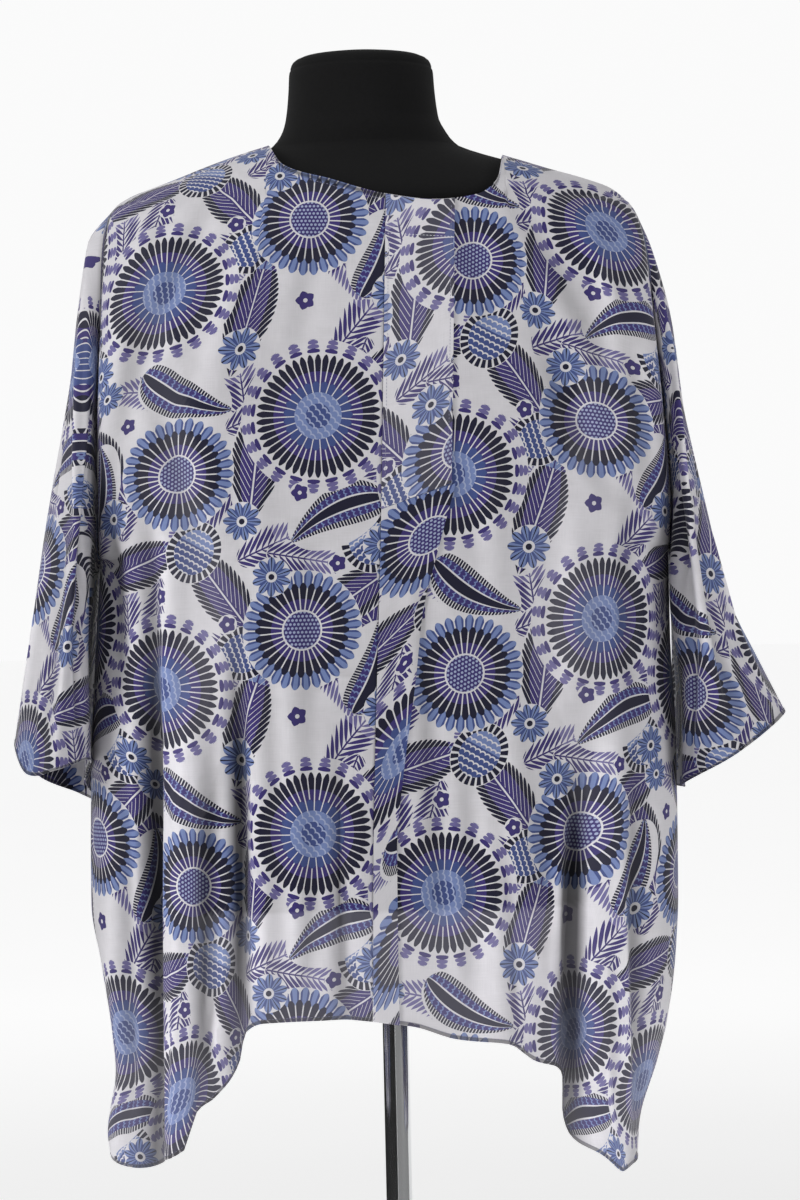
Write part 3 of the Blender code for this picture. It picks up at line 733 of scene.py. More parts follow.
def ring_map(grid, normals):
    """A tube's flat cloth, in metres: round from its first column, and up by height."""
    level = np.stack([-normals[..., 1], normals[..., 0], np.zeros(grid.shape[:2])], axis=2)
    level /= np.linalg.norm(level, axis=2, keepdims=True)
    following = np.roll(grid, -1, axis=1)
    steps = ((following - grid) * (level + np.roll(level, -1, axis=1)) / 2).sum(axis=2)
    half = steps.shape[1] // 2
    onwards = np.cumsum(steps[:, :half], axis=1)
    backwards = -np.cumsum(steps[:, :half - 1 : -1], axis=1)[:, ::-1]
    start = np.zeros((len(grid), 1))
    across = np.concatenate([backwards, start, onwards], axis=1)
    columns = np.arange(-half, half + 1) % grid.shape[1]
    return np.stack([across, grid[:, columns, 2] * SLEEVE_SLANT], axis=2) * MM


def to_metres(points):
    return (np.asarray(points) + (0.0, 0.0, HEM_ABOVE_FLOOR)) * MM


def hem_profile(rows, columns, neck=slice(0)):
    """Extra rise and thickness of a turned hem at a shell's end, and at the neck's columns."""
    rise = np.zeros((rows, columns))
    thickness = np.full((rows, columns), SHEET)
    foot_hem = (slice(HEM_ROW, -1), slice(None))
    neck_hem = (slice(1, NECK_HEM_ROW), neck)
    for place in (foot_hem, neck_hem):
        rise[place] = HEM_RISE
        thickness[place] = HEM_THICKNESS
    return rise, thickness


def add_object(name, data):
    made = bpy.data.objects.new(name, data)
    bpy.context.scene.collection.objects.link(made)
    return made


def finish_mesh(name, mesh, sharp_angle, material):
    """An object of a mesh, smooth but for the edges that turn by more than an angle."""
    mesh.shade_smooth()
    mesh.set_sharp_from_angle(angle=sharp_angle)
    mesh.materials.append(material)
    return add_object(name, mesh)


def store(mesh, name, values):
    """Keep a value at each point of a mesh, for its material."""
    layer = mesh.attributes.new(name, "FLOAT", "POINT")
    layer.data.foreach_set("value", values)


def shell(name, outer, normals, flat, shade_depth, rise=0.0, thickness=SHEET, closed=False):
    """A thin cloth shell with two skins and the edges between them, and its flat map.

    The points keep how far the folds lift them above what lies beside them, for painted shade in troughs
    and painted highlight on ridges, and where the cloth is folded into a hem.
    """
    rows, columns = outer.shape[:2]
    out = outer + normals * np.broadcast_to(rise, (rows, columns))[..., None]
    back = out - normals * np.broadcast_to(thickness, (rows, columns))[..., None]
    points = to_metres(np.concatenate([out.reshape(-1, 3), back.reshape(-1, 3)]))
    count = rows * columns
    last = columns if closed else columns - 1
    r, c = np.meshgrid(np.arange(rows - 1), np.arange(last), indexing="ij")
    corners = [(r, c), (r, c + 1), (r + 1, c + 1), (r + 1, c)]
    skin = np.stack([i * columns + j % columns for i, j in corners], -1).reshape(-1, 4)
    place = np.stack([i * flat.shape[1] + j for i, j in corners], -1).reshape(-1, 4)
    faces = [skin, skin[:, ::-1] + count]
    places = [place, place[:, ::-1]]

    def add_edge(first, second):
        """Faces between the skins along two neighbouring lines of grid places."""
        a = first[0] * columns + first[1] % columns
        b = second[0] * columns + second[1] % columns
        ua = first[0] * flat.shape[1] + first[1]
        ub = second[0] * flat.shape[1] + second[1]
        faces.append(np.stack([b, a, a + count, b + count], -1))
        places.append(np.stack([ub, ua, ua, ub], -1))

    along = np.arange(last)
    top, bottom = np.zeros_like(along), np.full_like(along, rows - 1)
    add_edge((top, along), (top, along + 1))
    add_edge((bottom, along + 1), (bottom, along))
    if not closed:
        down = np.arange(rows - 1)
        left, right = np.zeros_like(down), np.full_like(down, columns - 1)
        add_edge((down + 1, left), (down, left))
        add_edge((down, right), (down + 1, right))
    faces, places = np.concatenate(faces), np.concatenate(places)
    mesh = bpy.data.meshes.new(name)
    mesh.from_pydata(points.tolist(), [], faces.tolist())
    layer = mesh.uv_layers.new(name="flat")
    layer.data.foreach_set("uv", flat.reshape(-1, 2)[places.ravel()].ravel())
    if signed_volume(points, faces) < 0:
        mesh.flip_normals()
    # Cells of the turned hem, which the material paints darker, partly for their layers and partly as
    # painted shade
    hem = np.broadcast_to(thickness, (rows, columns)) == HEM_THICKNESS
    # The relief values are the depth of painted shade in troughs and painted highlight on ridges
    for key, values in (("relief", shade_depth), ("hem", hem)):
        store(mesh, key, np.tile(values.ravel().astype(float), 2))
    return finish_mesh(name, mesh, SHARP_CLOTH, cloth)


def signed_volume(points, faces):
    """Volume of a closed mesh of four-cornered faces, below zero when it is inside out."""
    a, b, c, d = (points[faces[:, i]] for i in range(4))
    return ((np.cross(a, b) * c).sum() + (np.cross(a, c) * d).sum()) / 6


def seam_dip(grid, normals, places):
    """Draw the cloth in along a seam."""
    for rows, columns in places:
        grid[rows, columns] -= normals[rows, columns] * SEAM_DIP


def armhole_shade(far):
    """The depth of painted shade beside the armhole seam, counted as a trough's, by the distance from it.
    """
    return ARMHOLE_SHADE_DEPTH * bell(far / ARMHOLE_SHADE_WIDTH)


def shade_armhole(grid, shade_depth, columns):
    """Paint shade on the body's cloth beside its armhole, as if it lay in a trough."""
    upper = grid[: UPPER_ROWS + 1]
    for column_number in columns:
        far = np.linalg.norm(upper - upper[:, column_number, None], axis=2)
        shade_depth[: UPPER_ROWS + 1] += armhole_shade(far)


def make_front(side):
    grid, shade_depth = half_grid(side, "front")
    normals = panel_normals(grid, [(-1, slice(NECK_COLUMNS, None))])
    flatten_normals(normals, slice(None), 0, 0)
    edge = grid.copy()
    grid[:, 0, 0] += SIDE_SIGN[side] * SEAM_GAP / 2
    flat = flat_map(edge, UPPER_ROWS) * (SIDE_SIGN[side], 1)
    covered = BAND_COLUMNS if side == "left" else 0
    rise, thickness = hem_profile(*grid.shape[:2], slice(covered, NECK_COLUMNS - NECK_HEM_END))
    thicken(thickness, NECK_COLUMNS)
    if side == "left":
        rise[HEM_ROW:, :PLEAT_COLUMNS] = 0.0
    seam_dip(grid, normals, [(0, slice(NECK_COLUMNS + 1, None)), (slice(UPPER_ROWS, None), -1)])
    shade_armhole(grid, shade_depth, [-1])
    piece = shell("front_" + side + "_cloth", grid, normals, flat, shade_depth, rise, thickness)
    return Panel(piece, edge, normals)


def both_halves(halves):
    """A whole back's grid from its halves, which share their first column."""
    return np.concatenate([halves["right"][:, ::-1], halves["left"][:, 1:]], axis=1)


def make_back():
    made = {side: half_grid(side, "back") for side in SIDE_SIGN}
    halves = {side: grid for side, (grid, shade_depth) in made.items()}
    shade_depth = both_halves({side: shade_depth for side, (grid, shade_depth) in made.items()})
    grid = both_halves(halves)
    edge_columns = [
        (0, slice(0, SHOULDER_COLUMNS + 1)),
        (-1, slice(-SHOULDER_COLUMNS - 1, None)),
    ]
    normals = panel_normals(grid, edge_columns)
    flats = {side: flat_map(halves[side], UPPER_ROWS) * (SIDE_SIGN[side], 1) for side in SIDE_SIGN}
    flat = both_halves(flats) + BACK_PRINT_SHIFT
    neck_end = SHOULDER_COLUMNS + NECK_HEM_END
    rise, thickness = hem_profile(*grid.shape[:2], slice(neck_end, -neck_end))
    for neck_column in (SHOULDER_COLUMNS, grid.shape[1] - 1 - SHOULDER_COLUMNS):
        thicken(thickness, neck_column)
    lower = slice(UPPER_ROWS, None)
    dips = [(0, slice(0, SHOULDER_COLUMNS)), (0, slice(-SHOULDER_COLUMNS, None)), (lower, 0), (lower, -1)]
    seam_dip(grid, normals, dips)
    shade_armhole(grid, shade_depth, [0, -1])
    piece = shell("back_cloth", grid, normals, flat, shade_depth, rise, thickness)
    return Panel(piece, grid, normals), halves


def armhole_ring(side, front, back):
    """The body's armhole edge as a loop: down the front and up the back."""
    down = front[: UPPER_ROWS + 1, -1]
    up = back[: UPPER_ROWS + 1, -1]
    loop = np.concatenate([down[:-1], up[:0:-1]])
    loop[0] = (down[0] + up[0]) / 2
    loop[UPPER_ROWS] = (down[-1] + up[-1]) / 2
    middle = np.array([0.0, 0.0, (TIP_HEIGHT[side] + UNDERARM_HEIGHT) / 2])
    inward = (middle - loop) * np.array([0.0, 1.0, 1.0])
    inward /= np.linalg.norm(inward, axis=1, keepdims=True)
    outward = np.array([SIDE_SIGN[side], 0.0, 0.0])
    return loop + (inward + outward) * SEAM_GAP


def cuff_ring(side, turns):
    """The cuff's edge, by a closed smooth curve through its points."""
    points = np.array(CUFFS[side], float)
    count = len(points)
    place = turns * count
    i = place.astype(int) % count
    t = (place - place.astype(int))[:, None]
    a, b, c, d = (points[(i + k) % count] for k in (-1, 0, 1, 2))
    squared = 2 * a - 5 * b + 4 * c - d
    cubed = 3 * b - a - 3 * c + d
    return (2 * b + (c - a) * t + squared * t**2 + cubed * t**3) / 2


def turn_distance(a, b):
    """The shorter way between two places round a ring, in turns."""
    gap = np.abs(a - b) % 1.0
    return np.minimum(gap, 1.0 - gap)


def sleeve_rise(side, turns, shares):
    """How far a sleeve's folds and creases move its cloth outwards."""
    rise = np.zeros((len(shares), len(turns)))
    for fold in SLEEVE_FOLDS[side]:
        along = (shares[:, None] - fold.start) / (fold.end - fold.start)
        near = bell(turn_distance(turns, fold.turn) / fold.half_turn)
        rise += fold.rise * near * np.sin(pi * np.clip(along, 0, 1))
    shift = LEFT_SLEEVE_SHIFT if side == "left" else 0.0
    y = shares[:, None] * SLEEVE_LENGTH
    for c in SLEEVE_CREASES:
        begin = (c.turn_start * SLEEVE_TURN_LENGTH, c.start * SLEEVE_LENGTH)
        finish = (c.turn_end * SLEEVE_TURN_LENGTH, c.end * SLEEVE_LENGTH)
        for whole in (-1, 0, 1):
            x = (turns[None, :] + whole - shift) * SLEEVE_TURN_LENGTH
            rise += segment_rise(x, y, begin, finish, 0.0, c.width, c.rise)
    return rise


def sleeve_grid(side, front, back):
    """Outer points of a sleeve: rows down its length and columns round it, and the depth of their painted
    fold shade.
    """
    start = armhole_ring(side, front, back)
    turns = np.arange(len(start)) / len(start)
    end = cuff_ring(side, turns)
    shares = row_shares(SLEEVE_LENGTH, SLEEVE_ROWS)
    outer_line, inner_line, depth_line = (
        column(SLEEVE_BULGE, "share", name)(shares)[:, None]
        for name in (side + "_outer", "inner", "depth")
    )
    grid = start + (end - start) * shares[:, None, None]
    towards_outer = np.clip(np.cos(2 * pi * turns), 0, 1)
    towards_inner = np.clip(-np.cos(2 * pi * turns), 0, 1)
    grid[..., 0] += SIDE_SIGN[side] * (towards_outer * outer_line + towards_inner * inner_line)
    grid[..., 1] -= np.sin(2 * pi * turns) * depth_line
    rise = sleeve_rise(side, turns, shares)
    # The depth of painted shade: a crease's rise less that beside it, with painted shade by the armhole
    beside = (np.roll(rise, HOLLOW_COLUMNS, axis=1) + np.roll(rise, -HOLLOW_COLUMNS, axis=1)) / 2
    shade_depth = rise - HOLLOW_SHARE * beside + armhole_shade(shares[:, None] * SLEEVE_LENGTH)
    return grid + grid_normals(grid, closed=True) * rise[..., None], shade_depth


def make_sleeve(side, front, back):
    grid, shade_depth = sleeve_grid(side, front, back)
    normals = grid_normals(grid, closed=True)
    flatten_normals(normals, 0, slice(None), 0)
    cut = UPPER_ROWS
    flat = ring_map(grid, normals) + SLEEVE_PRINT_SHIFT[side]
    rise, thickness = hem_profile(*grid.shape[:2])
    piece = shell(
        "sleeve_" + side + "_cloth",
        np.roll(grid, -cut, axis=1),
        np.roll(normals, -cut, axis=1),
        flat,
        np.roll(shade_depth, -cut, axis=1),
        rise,
        thickness,
        closed=True,
    )
    return Panel(piece, grid, normals)


def make_strip(name, left_edge, right_edge, top, bottom, datum_row, print_shift):
    """A strip of cloth that lies on the left front, between two upright edges."""
    across = np.linspace(0, 1, LAYER_COLUMNS + 1)[None, :]
    down = row_shares(LAYER_LENGTH, LAYER_ROWS)[:, None]
    height = (1 - down) * top(across) + down * bottom(across)
    x = (1 - across) * left_edge(height) + across * right_edge(height)
    grid = surface("left", "front", x, height, LAYER_LIFT)
    normals = grid_normals(grid)
    flat = flat_map(grid, datum_row) + print_shift
    # The depth of painted shade in troughs and painted highlight on ridges
    shade_depth = hollow("left", "front", x, height)
    piece = shell(name, grid, normals, flat, shade_depth, 0.0, LAYER_THICKNESS)
    return Panel(piece, grid, normals)


def make_band():
    bottom = PLEAT_EDGE[0].height - BAND_END_DROP
    top_x = CENTRE_X(TIP_HEIGHT["left"])
    return make_strip(
        "band_cloth",
        left_edge=lambda h: CENTRE_X(h) + SEAM_GAP,
        right_edge=lambda h: CENTRE_X(h) + BAND_WIDTH,
        top=lambda across: NECKLINE["front"](top_x + BAND_WIDTH * across) - BAND_TOP_INSET,
        bottom=lambda across: bottom + BAND_END_SLANT * across,
        datum_row=-1,
        print_shift=BAND_PRINT_SHIFT,
    )


def make_pleat():
    top = PLEAT_EDGE[0].height - BAND_END_DROP - SEAM_GAP
    foot_x = CENTRE_X(0.0)
    return make_strip(
        "pleat_cloth",
        left_edge=lambda h: CENTRE_X(h) + SEAM_GAP,
        right_edge=PLEAT_X,
        top=lambda across: top + BAND_END_SLANT * across,
        bottom=lambda across: HEM["front"](foot_x + PLEAT_FOOT_WIDTH * across),
        datum_row=0,
        print_shift=PLEAT_PRINT_SHIFT,
    )


def add_mesh(name, points, faces, material):
    mesh = bpy.data.meshes.new(name)
    mesh.from_pydata([tuple(p) for p in points], [], [tuple(f) for f in faces])
    return finish_mesh(name, mesh, SHARP_PART, material)


# Stitches: length, distance from one to the next, half thickness and how far they stand out
STITCH_LENGTH = 2.1
STITCH_PITCH = 2.9
STITCH_RADIUS = 0.22
STITCH_LIFT = 0.12
# Shares of the thickness and of the lift at a thread's start, middle and end
STITCH_SHAPE = ((0.35, -0.3), (1.0, 1.0), (0.35, -0.3))


def stitch_points(path, normals):
    """Corner points and faces of short flat threads along a path."""
    lengths = lengths_along(path)
    starts = np.arange(STITCH_PITCH / 2, lengths[-1] - STITCH_PITCH, STITCH_PITCH)
    points, faces = [], []
    for begin in starts:
        along = np.array([begin, begin + STITCH_LENGTH * 0.5, begin + STITCH_LENGTH])
        middle = np.stack([np.interp(along, lengths, path[:, i]) for i in range(3)], 1)
        normal = np.stack([np.interp(along, lengths, normals[:, i]) for i in range(3)], 1)
        way = middle[2] - middle[0]
        side = np.cross(way, normal[1])
        side *= STITCH_RADIUS / np.linalg.norm(side)
        first = len(points)
        for i, (size, lift) in enumerate(STITCH_SHAPE):
            centre = middle[i] + normal[i] * STITCH_LIFT * lift
            up = normal[i] * STITCH_RADIUS * size
            points += [centre + side * size, centre + up, centre - side * size, centre - up]
        for ring in (first, first + 4):
            for k in range(4):
                n = (k + 1) % 4
                faces.append((ring + k, ring + n, ring + 4 + n, ring + 4 + k))
        faces.append((first + 3, first + 2, first + 1, first))
        faces.append((first + 8, first + 9, first + 10, first + 11))
    return points, faces


def make_stitches(name, lines, material):
    points, faces = [], []
    for path, normals in lines:
        more_points, more_faces = stitch_points(path, normals)
        first = len(points)
        points += more_points
        faces += [tuple(first + i for i in face) for face in more_faces]
    return add_mesh(name, to_metres(points), faces, material)


def make_form(material):
    """The dress form's cover: one smooth body from hip to neck, with the neck cap's seam."""
    even = np.arange(FORM_SECTIONS[0].height, FORM_SECTIONS[-1].height, FORM_RING_STEP)
    section_heights = [row.height for row in FORM_SECTIONS]
    heights = np.unique(np.concatenate([even, section_heights, CAP_HEIGHT + np.array(CAP_RINGS)]))
    around = np.linspace(0, 2 * pi, FORM_SIDES, endpoint=False)
    middle, width, front, back = (
        column(FORM_SECTIONS, "height", name)(heights)[:, None]
        for name in ("middle", "width", "front", "back")
    )
    groove = CAP_GROOVE * bell((heights - CAP_HEIGHT) / CAP_GROOVE_WIDTH)[:, None]
    depth = np.where(np.sin(around) > 0, back, front) - groove
    x = middle + (width - groove) * np.cos(around)
    y = depth * np.sin(around)
    rings = np.stack([x, y, heights[:, None] + 0 * x], -1)
    points = list(rings.reshape(-1, 3))
    faces = []
    for r in range(len(heights) - 1):
        for k in range(FORM_SIDES):
            n = (k + 1) % FORM_SIDES
            low, high = r * FORM_SIDES, (r + 1) * FORM_SIDES
            faces.append((low + k, low + n, high + n, high + k))
    top = (len(heights) - 1) * FORM_SIDES
    faces.append(tuple(range(FORM_SIDES - 1, -1, -1)))
    faces.append(tuple(top + k for k in range(FORM_SIDES)))
    return add_mesh("dress_form_cover", to_metres(points), faces, material)


LATHE_SIDES = 96
BEVEL_POINTS = 5


def lathe(name, profile, material):
    """A round piece of the stand from its outline of radii and heights above the floor."""
    turns = np.linspace(0, 2 * pi, LATHE_SIDES, endpoint=False)
    points, rings = [], []
    for radius, height in profile:
        if radius == 0:
            rings.append([len(points)] * LATHE_SIDES)
            points.append((0.0, 0.0, height))
            continue
        rings.append(list(range(len(points), len(points) + LATHE_SIDES)))
        points += [(radius * cos(t), radius * sin(t), height) for t in turns]
    faces = []
    for low, high in zip(rings, rings[1:] + rings[:1]):
        for k in range(LATHE_SIDES):
            n = (k + 1) % LATHE_SIDES
            corners = list(dict.fromkeys((low[k], low[n], high[n], high[k])))
            if len(corners) > 2:
                faces.append(corners)
    return add_mesh(name, np.array(points) * MM, faces, material)


def rounded(radius, height, bevel):
    """Profile points of a rounded upper edge at a radius and height."""
    angles = np.linspace(0, pi / 2, BEVEL_POINTS)
    return [(radius - bevel * (1 - cos(a)), height - bevel * (1 - sin(a))) for a in angles]


POLE_RADIUS = 11.0
BASE_RADIUS = 155.0
BASE_THICKNESS = 10.0
BASE_BEVEL = 3.0
BASE_FOOT_BEVEL = 1.0
COLLAR_RADIUS = 19.0
COLLAR_HEIGHT = 34.0
COLLAR_BEVEL = 2.0
COLLAR_FOOT_RADIUS = 24.0
COLLAR_FOOT_HEIGHT = 5.0
COLLAR_NECK_HEIGHT = 8.0
FLANGE_RADIUS = 34.0
FLANGE_PLATE = 4.0
FLANGE_TUBE_RADIUS = 18.0
FLANGE_HEIGHT = 12.0
SMALL_BEVEL = 0.8


def make_stand(chrome, steel):
    top = BASE_THICKNESS
    low = top + SEAM_GAP
    high = HEM_ABOVE_FLOOR + FORM_SECTIONS[0].height - SEAM_GAP
    bore = POLE_RADIUS + SEAM_GAP
    collar_top = low + COLLAR_HEIGHT
    plate = [(0, 0), (BASE_RADIUS - BASE_FOOT_BEVEL, 0), (BASE_RADIUS, BASE_FOOT_BEVEL)]
    plate += rounded(BASE_RADIUS, top, BASE_BEVEL) + [(0, top)]
    base = lathe("base_plate", plate, steel)
    pole = lathe("pole_tube", [(0, low), (POLE_RADIUS, low), (POLE_RADIUS, high), (0, high)], chrome)
    foot = [(bore, low), (COLLAR_FOOT_RADIUS, low)]
    foot += rounded(COLLAR_FOOT_RADIUS, low + COLLAR_FOOT_HEIGHT, SMALL_BEVEL)
    neck = [(COLLAR_RADIUS, low + COLLAR_NECK_HEIGHT)]
    neck += rounded(COLLAR_RADIUS, collar_top, COLLAR_BEVEL) + [(bore, collar_top)]
    collar = lathe("pole_collar_turned", foot + neck, chrome)
    tube = [(bore, high - FLANGE_HEIGHT), (FLANGE_TUBE_RADIUS, high - FLANGE_HEIGHT)]
    disc = [
        (FLANGE_TUBE_RADIUS, high - FLANGE_PLATE),
        (FLANGE_RADIUS - SMALL_BEVEL, high - FLANGE_PLATE),
        (FLANGE_RADIUS, high - FLANGE_PLATE + SMALL_BEVEL),
        (FLANGE_RADIUS, high),
        (bore, high),
    ]
    flange = lathe("pole_flange_turned", tube + disc, chrome)
    return {"base": base, "pole": pole, "pole_collar": collar, "pole_flange": flange}


# The print is a generic one of flowers, leaves, sprigs, seed heads and paisley drops. It repeats
# over a tile, in centimetres, whose next column is set down by half its height, and a motif lies
# on those before it in the table.
REPEAT = (24.0, 34.0)
DROP = 0.5 * REPEAT[1] / REPEAT[0]
Motif = namedtuple("Motif", "kind x y half_length half_width turn")
LAYOUT = [
    Motif("sprig", 22.6, 2.6, 4.0, 1.7, 52),
    Motif("sprig", 5.0, 31.6, 3.8, 1.7, 168),
    Motif("sprig", 15.6, 18.0, 3.6, 1.6, 24),
    Motif("sprig", 1.6, 13.4, 3.8, 1.6, 96),
    Motif("sprig", 12.4, 31.4, 3.6, 1.6, 100),
    Motif("sprig", 9.4, 20.4, 3.4, 1.5, 215),
    Motif("sprig", 20.8, 6.6, 3.3, 1.5, 300),
    Motif("sprig", 4.6, 12.2, 3.4, 1.5, 255),
    Motif("sprig", 23.0, 22.4, 3.6, 1.6, 330),
    Motif("sprig", 10.0, 9.2, 3.2, 1.5, 190),
    Motif("sprig", 14.4, 28.6, 3.4, 1.5, 20),
    Motif("sprig", 2.6, 22.0, 3.2, 1.5, 75),
    Motif("sprig", 18.0, 16.6, 3.3, 1.5, 350),
    Motif("sprig", 12.6, 6.2, 3.2, 1.5, 140),
    Motif("sprig", 21.6, 31.6, 3.2, 1.5, 250),
    Motif("leaf", 13.0, 3.0, 5.4, 2.1, 72),
    Motif("leaf", 11.2, 13.8, 5.2, 2.0, 128),
    Motif("leaf", 3.0, 16.4, 5.0, 2.0, 18),
    Motif("leaf", 13.8, 24.6, 5.2, 2.1, 84),
    Motif("leaf", 0.4, 26.6, 5.2, 2.1, 118),
    Motif("leaf", 22.0, 13.6, 4.4, 1.9, 215),
    Motif("seed", 8.6, 17.4, 2.7, 2.3, 60),
    Motif("seed", 12.9, 9.0, 2.6, 2.2, 20),
    Motif("seed", 23.2, 17.8, 2.6, 2.3, 130),
    Motif("paisley", 20.4, 20.2, 4.2, 2.6, 205),
    Motif("paisley", 23.6, 7.6, 4.0, 2.6, 75),
    Motif("paisley", 7.8, 30.8, 4.2, 2.6, 330),
    Motif("rosette", 5.8, 6.2, 6.2, 6.2, 10),
    Motif("double", 17.8, 10.8, 4.9, 4.9, 0),
    Motif("double", 7.2, 24.0, 4.8, 4.8, 25),
    Motif("rosette", 18.8, 28.2, 6.3, 6.3, 40),
    Motif("flower", 12.2, 0.2, 1.8, 1.8, 15),
    Motif("flower", 0.2, 0.6, 1.6, 1.6, 40),
    Motif("flower", 15.2, 15.2, 1.6, 1.6, 0),
    Motif("flower", 0.8, 21.2, 1.8, 1.8, 25),
    Motif("flower", 12.7, 19.8, 1.6, 1.6, 50),
    Motif("flower", 1.2, 32.2, 1.4, 1.4, 5),
    Motif("berry", 11.6, 11.4, 0.8, 0.8, 0),
    Motif("berry", 5.6, 13.8, 0.8, 0.8, 0),
    Motif("berry", 17.6, 3.8, 0.9, 0.9, 0),
    Motif("berry", 17.4, 22.0, 0.8, 0.8, 0),
    Motif("berry", 3.2, 29.0, 0.8, 0.8, 0),
    Motif("berry", 20.6, 16.2, 0.8, 0.8, 0),
]
INK = {
    "ground": (0.814, 0.806, 0.822),
    "navy": (0.036, 0.033, 0.165),
    "violet": (0.200, 0.155, 0.415),
    "mid": (0.225, 0.285, 0.500),
    "light": (0.435, 0.500, 0.680),
    "pale": (0.610, 0.645, 0.760),
    "lilac": (0.400, 0.375, 0.570),
}
GROUND, NAVY, VIOLET, MID, LIGHT, PALE, LILAC = range(len(INK))


def linear(colour):
    return tuple(c / 12.92 if c <= 0.04045 else ((c + 0.055) / 1.055) ** 2.4 for c in colour)


class Field:
    """A value in a node tree, so that patterns can be written as formulas."""

    def __init__(self, socket):
        self.socket = socket

    def __add__(self, other):
        return formula("ADD", self, other)

    def __sub__(self, other):
        return formula("SUBTRACT", self, other)

    def __rsub__(self, other):
        return formula("SUBTRACT", other, self)

    def __mul__(self, other):
        return formula("MULTIPLY", self, other)

    def __truediv__(self, other):
        return formula("DIVIDE", self, other)

    def __rtruediv__(self, other):
        return formula("DIVIDE", other, self)

    def __lt__(self, other):
        return formula("LESS_THAN", self, other)

    def __gt__(self, other):
        return formula("GREATER_THAN", self, other)

    __radd__ = __add__
    __rmul__ = __mul__


def new_node(tree, kind, **settings):
    node = tree.nodes.new("ShaderNode" + kind)
    for name, value in settings.items():
        setattr(node, name, value)
    return node


def feed(place, value):
    """Give a node's input a field, another node's output or a plain value."""
    if isinstance(value, Field):
        value = value.socket
    if isinstance(value, bpy.types.NodeSocket):
        place.id_data.links.new(value, place)
    else:
        place.default_value = value


def feed_all(node, values):
    """Give some of a node's inputs, by name or number, their values."""
    for key, value in values.items():
        feed(node.inputs[key], value)


def formula(operation, *values):
    """A Math node of some values, of which at least one is a field."""
    tree = next(v.socket.id_data for v in values if isinstance(v, Field))
    node = new_node(tree, "Math", operation=operation)
    feed_all(node, dict(enumerate(values)))
    return Field(node.outputs[0])


def components(tree, vector):
    """A vector's three components as fields."""
    split = new_node(tree, "SeparateXYZ")
    feed(split.inputs[0], vector)
    return [Field(s) for s in split.outputs]


def combined(tree, values):
    """A vector, or a colour, of three fields or plain values."""
    node = new_node(tree, "CombineXYZ")
    feed_all(node, dict(enumerate(values)))
    return node.outputs[0]


# The Mix node's inputs A and B and its result, by number
MIX_SOCKETS = {"VECTOR": (4, 5, 1), "RGBA": (6, 7, 2)}


def mix(tree, kind, share, first, second, blend="MIX"):
    """A share of the second of two vectors or colours, mixed into the first."""
    a, b, result = MIX_SOCKETS[kind]
    node = new_node(tree, "Mix", data_type=kind, blend_type=blend)
    feed_all(node, {"Factor": share, a: first, b: second})
    return node.outputs[result]


def size_of(value):
    return formula("ABSOLUTE", value)


def root(value):
    return formula("SQRT", value)


def part_of(value):
    return formula("FRACT", value)


def pick(where, inside, outside):
    """One value where a mask is 1 and another where it is 0."""
    return formula("MULTIPLY_ADD", where, inside - outside, outside)


def from_middle(value):
    """Distance from the middle of each whole step: 0 there and 0.5 at the steps' ends."""
    return size_of(part_of(value) - 0.5)


def polar(x, y):
    """Distance from the middle, and the angle as a share of a turn."""
    return root(x * x + y * y), formula("ARCTAN2", y, x) * (0.5 / pi)


def offset_rows(along, across, count):
    """The place in a cell of rows that are offset by half a cell: from its middle, and up it."""
    row = along * count
    odd = part_of(formula("FLOOR", row) * 0.5)
    return part_of(across * count + odd) - 0.5, part_of(row)


def dots(x, y, count, size):
    """Round dots in offset rows."""
    across, up = offset_rows(y, x, count)
    off = up - 0.5
    return (across * across + off * off) < size * size


def rosette(x, y):
    """Many narrow petals round short ones and a centre of scales, with a ring of buds outside."""
    r, turn = polar(x, y)
    grown = r / 0.8
    off = from_middle(turn * 46.0)
    petal = (grown < 1.0 - 0.6 * off * off) * (off < 0.5 - 0.07 / grown)
    petals = pick(petal, pick(grown < 0.72, VIOLET, NAVY), GROUND)
    short = from_middle(turn * 23.0)
    reach = 0.56 - 0.3 * short * short
    ring = pick((grown < reach) * (short < 0.5 - 0.03 / grown), MID, GROUND)
    centre = pick(scales(x, y, 12.0), PALE, pick(grown < 0.2, MID, LIGHT))
    flower_head = pick(grown < reach, pick(grown < 0.38, centre, ring), petals)
    level = (r - 0.82) * 5.8
    lobes = from_middle(level * 3.0)
    squared = lobes * lobes
    bud = from_middle(turn * 23.0) < (0.38 - 0.16 * level) * (1.0 - 12.0 * squared * squared)
    buds = pick(bud * (level > 0.0), pick(level > 0.34, LILAC, VIOLET), GROUND)
    return pick(grown < 1.0, flower_head, buds)


def double(x, y):
    """Two rings of petals, pale outside and dark inside, round a dotted centre."""
    r, turn = polar(x, y)
    off = from_middle(turn * 32.0)
    outer = (r < 1.0 - 0.5 * off * off) * (off < 0.5 - 0.06 / r)
    outer = pick(outer, pick(off < 0.22, LIGHT, MID), GROUND)
    off_in = from_middle(turn * 32.0 + 0.5)
    reach = 0.79 - 0.4 * off_in * off_in
    inner = pick((r < reach) * (off_in < 0.5 - 0.055 / r), pick(r < 0.52, VIOLET, NAVY), GROUND)
    rings = pick(r < reach, inner, outer)
    centre = pick(dots(x, y, 15.0, 0.33), PALE, VIOLET)
    return pick(r < 0.34, pick(r < 0.31, centre, GROUND), rings)


def scales(x, y, count):
    """The outlines of round scales in offset rows."""
    across, up = offset_rows(x, y, count)
    far = root(across * across + up * up)
    return formula("COMPARE", far, 0.62, 0.11)


def leaf(x, y):
    """A long leaf with side veins that cut its edge into lobes."""
    away = size_of(y)
    off = from_middle((x - 0.62 * away) * 8.5) * 2.0
    width = (1.0 - x * x) * (1.0 + 0.12 * x)
    blade = (away < width * (1.0 - 0.26 * off * off * off)) * ((away > 0.035) + (x > 0.7))
    vein = (off > 0.87) * (away > 0.1)
    tone = pick(away < 0.6 * width, VIOLET, NAVY)
    return pick(blade, pick(vein, GROUND, tone), GROUND)


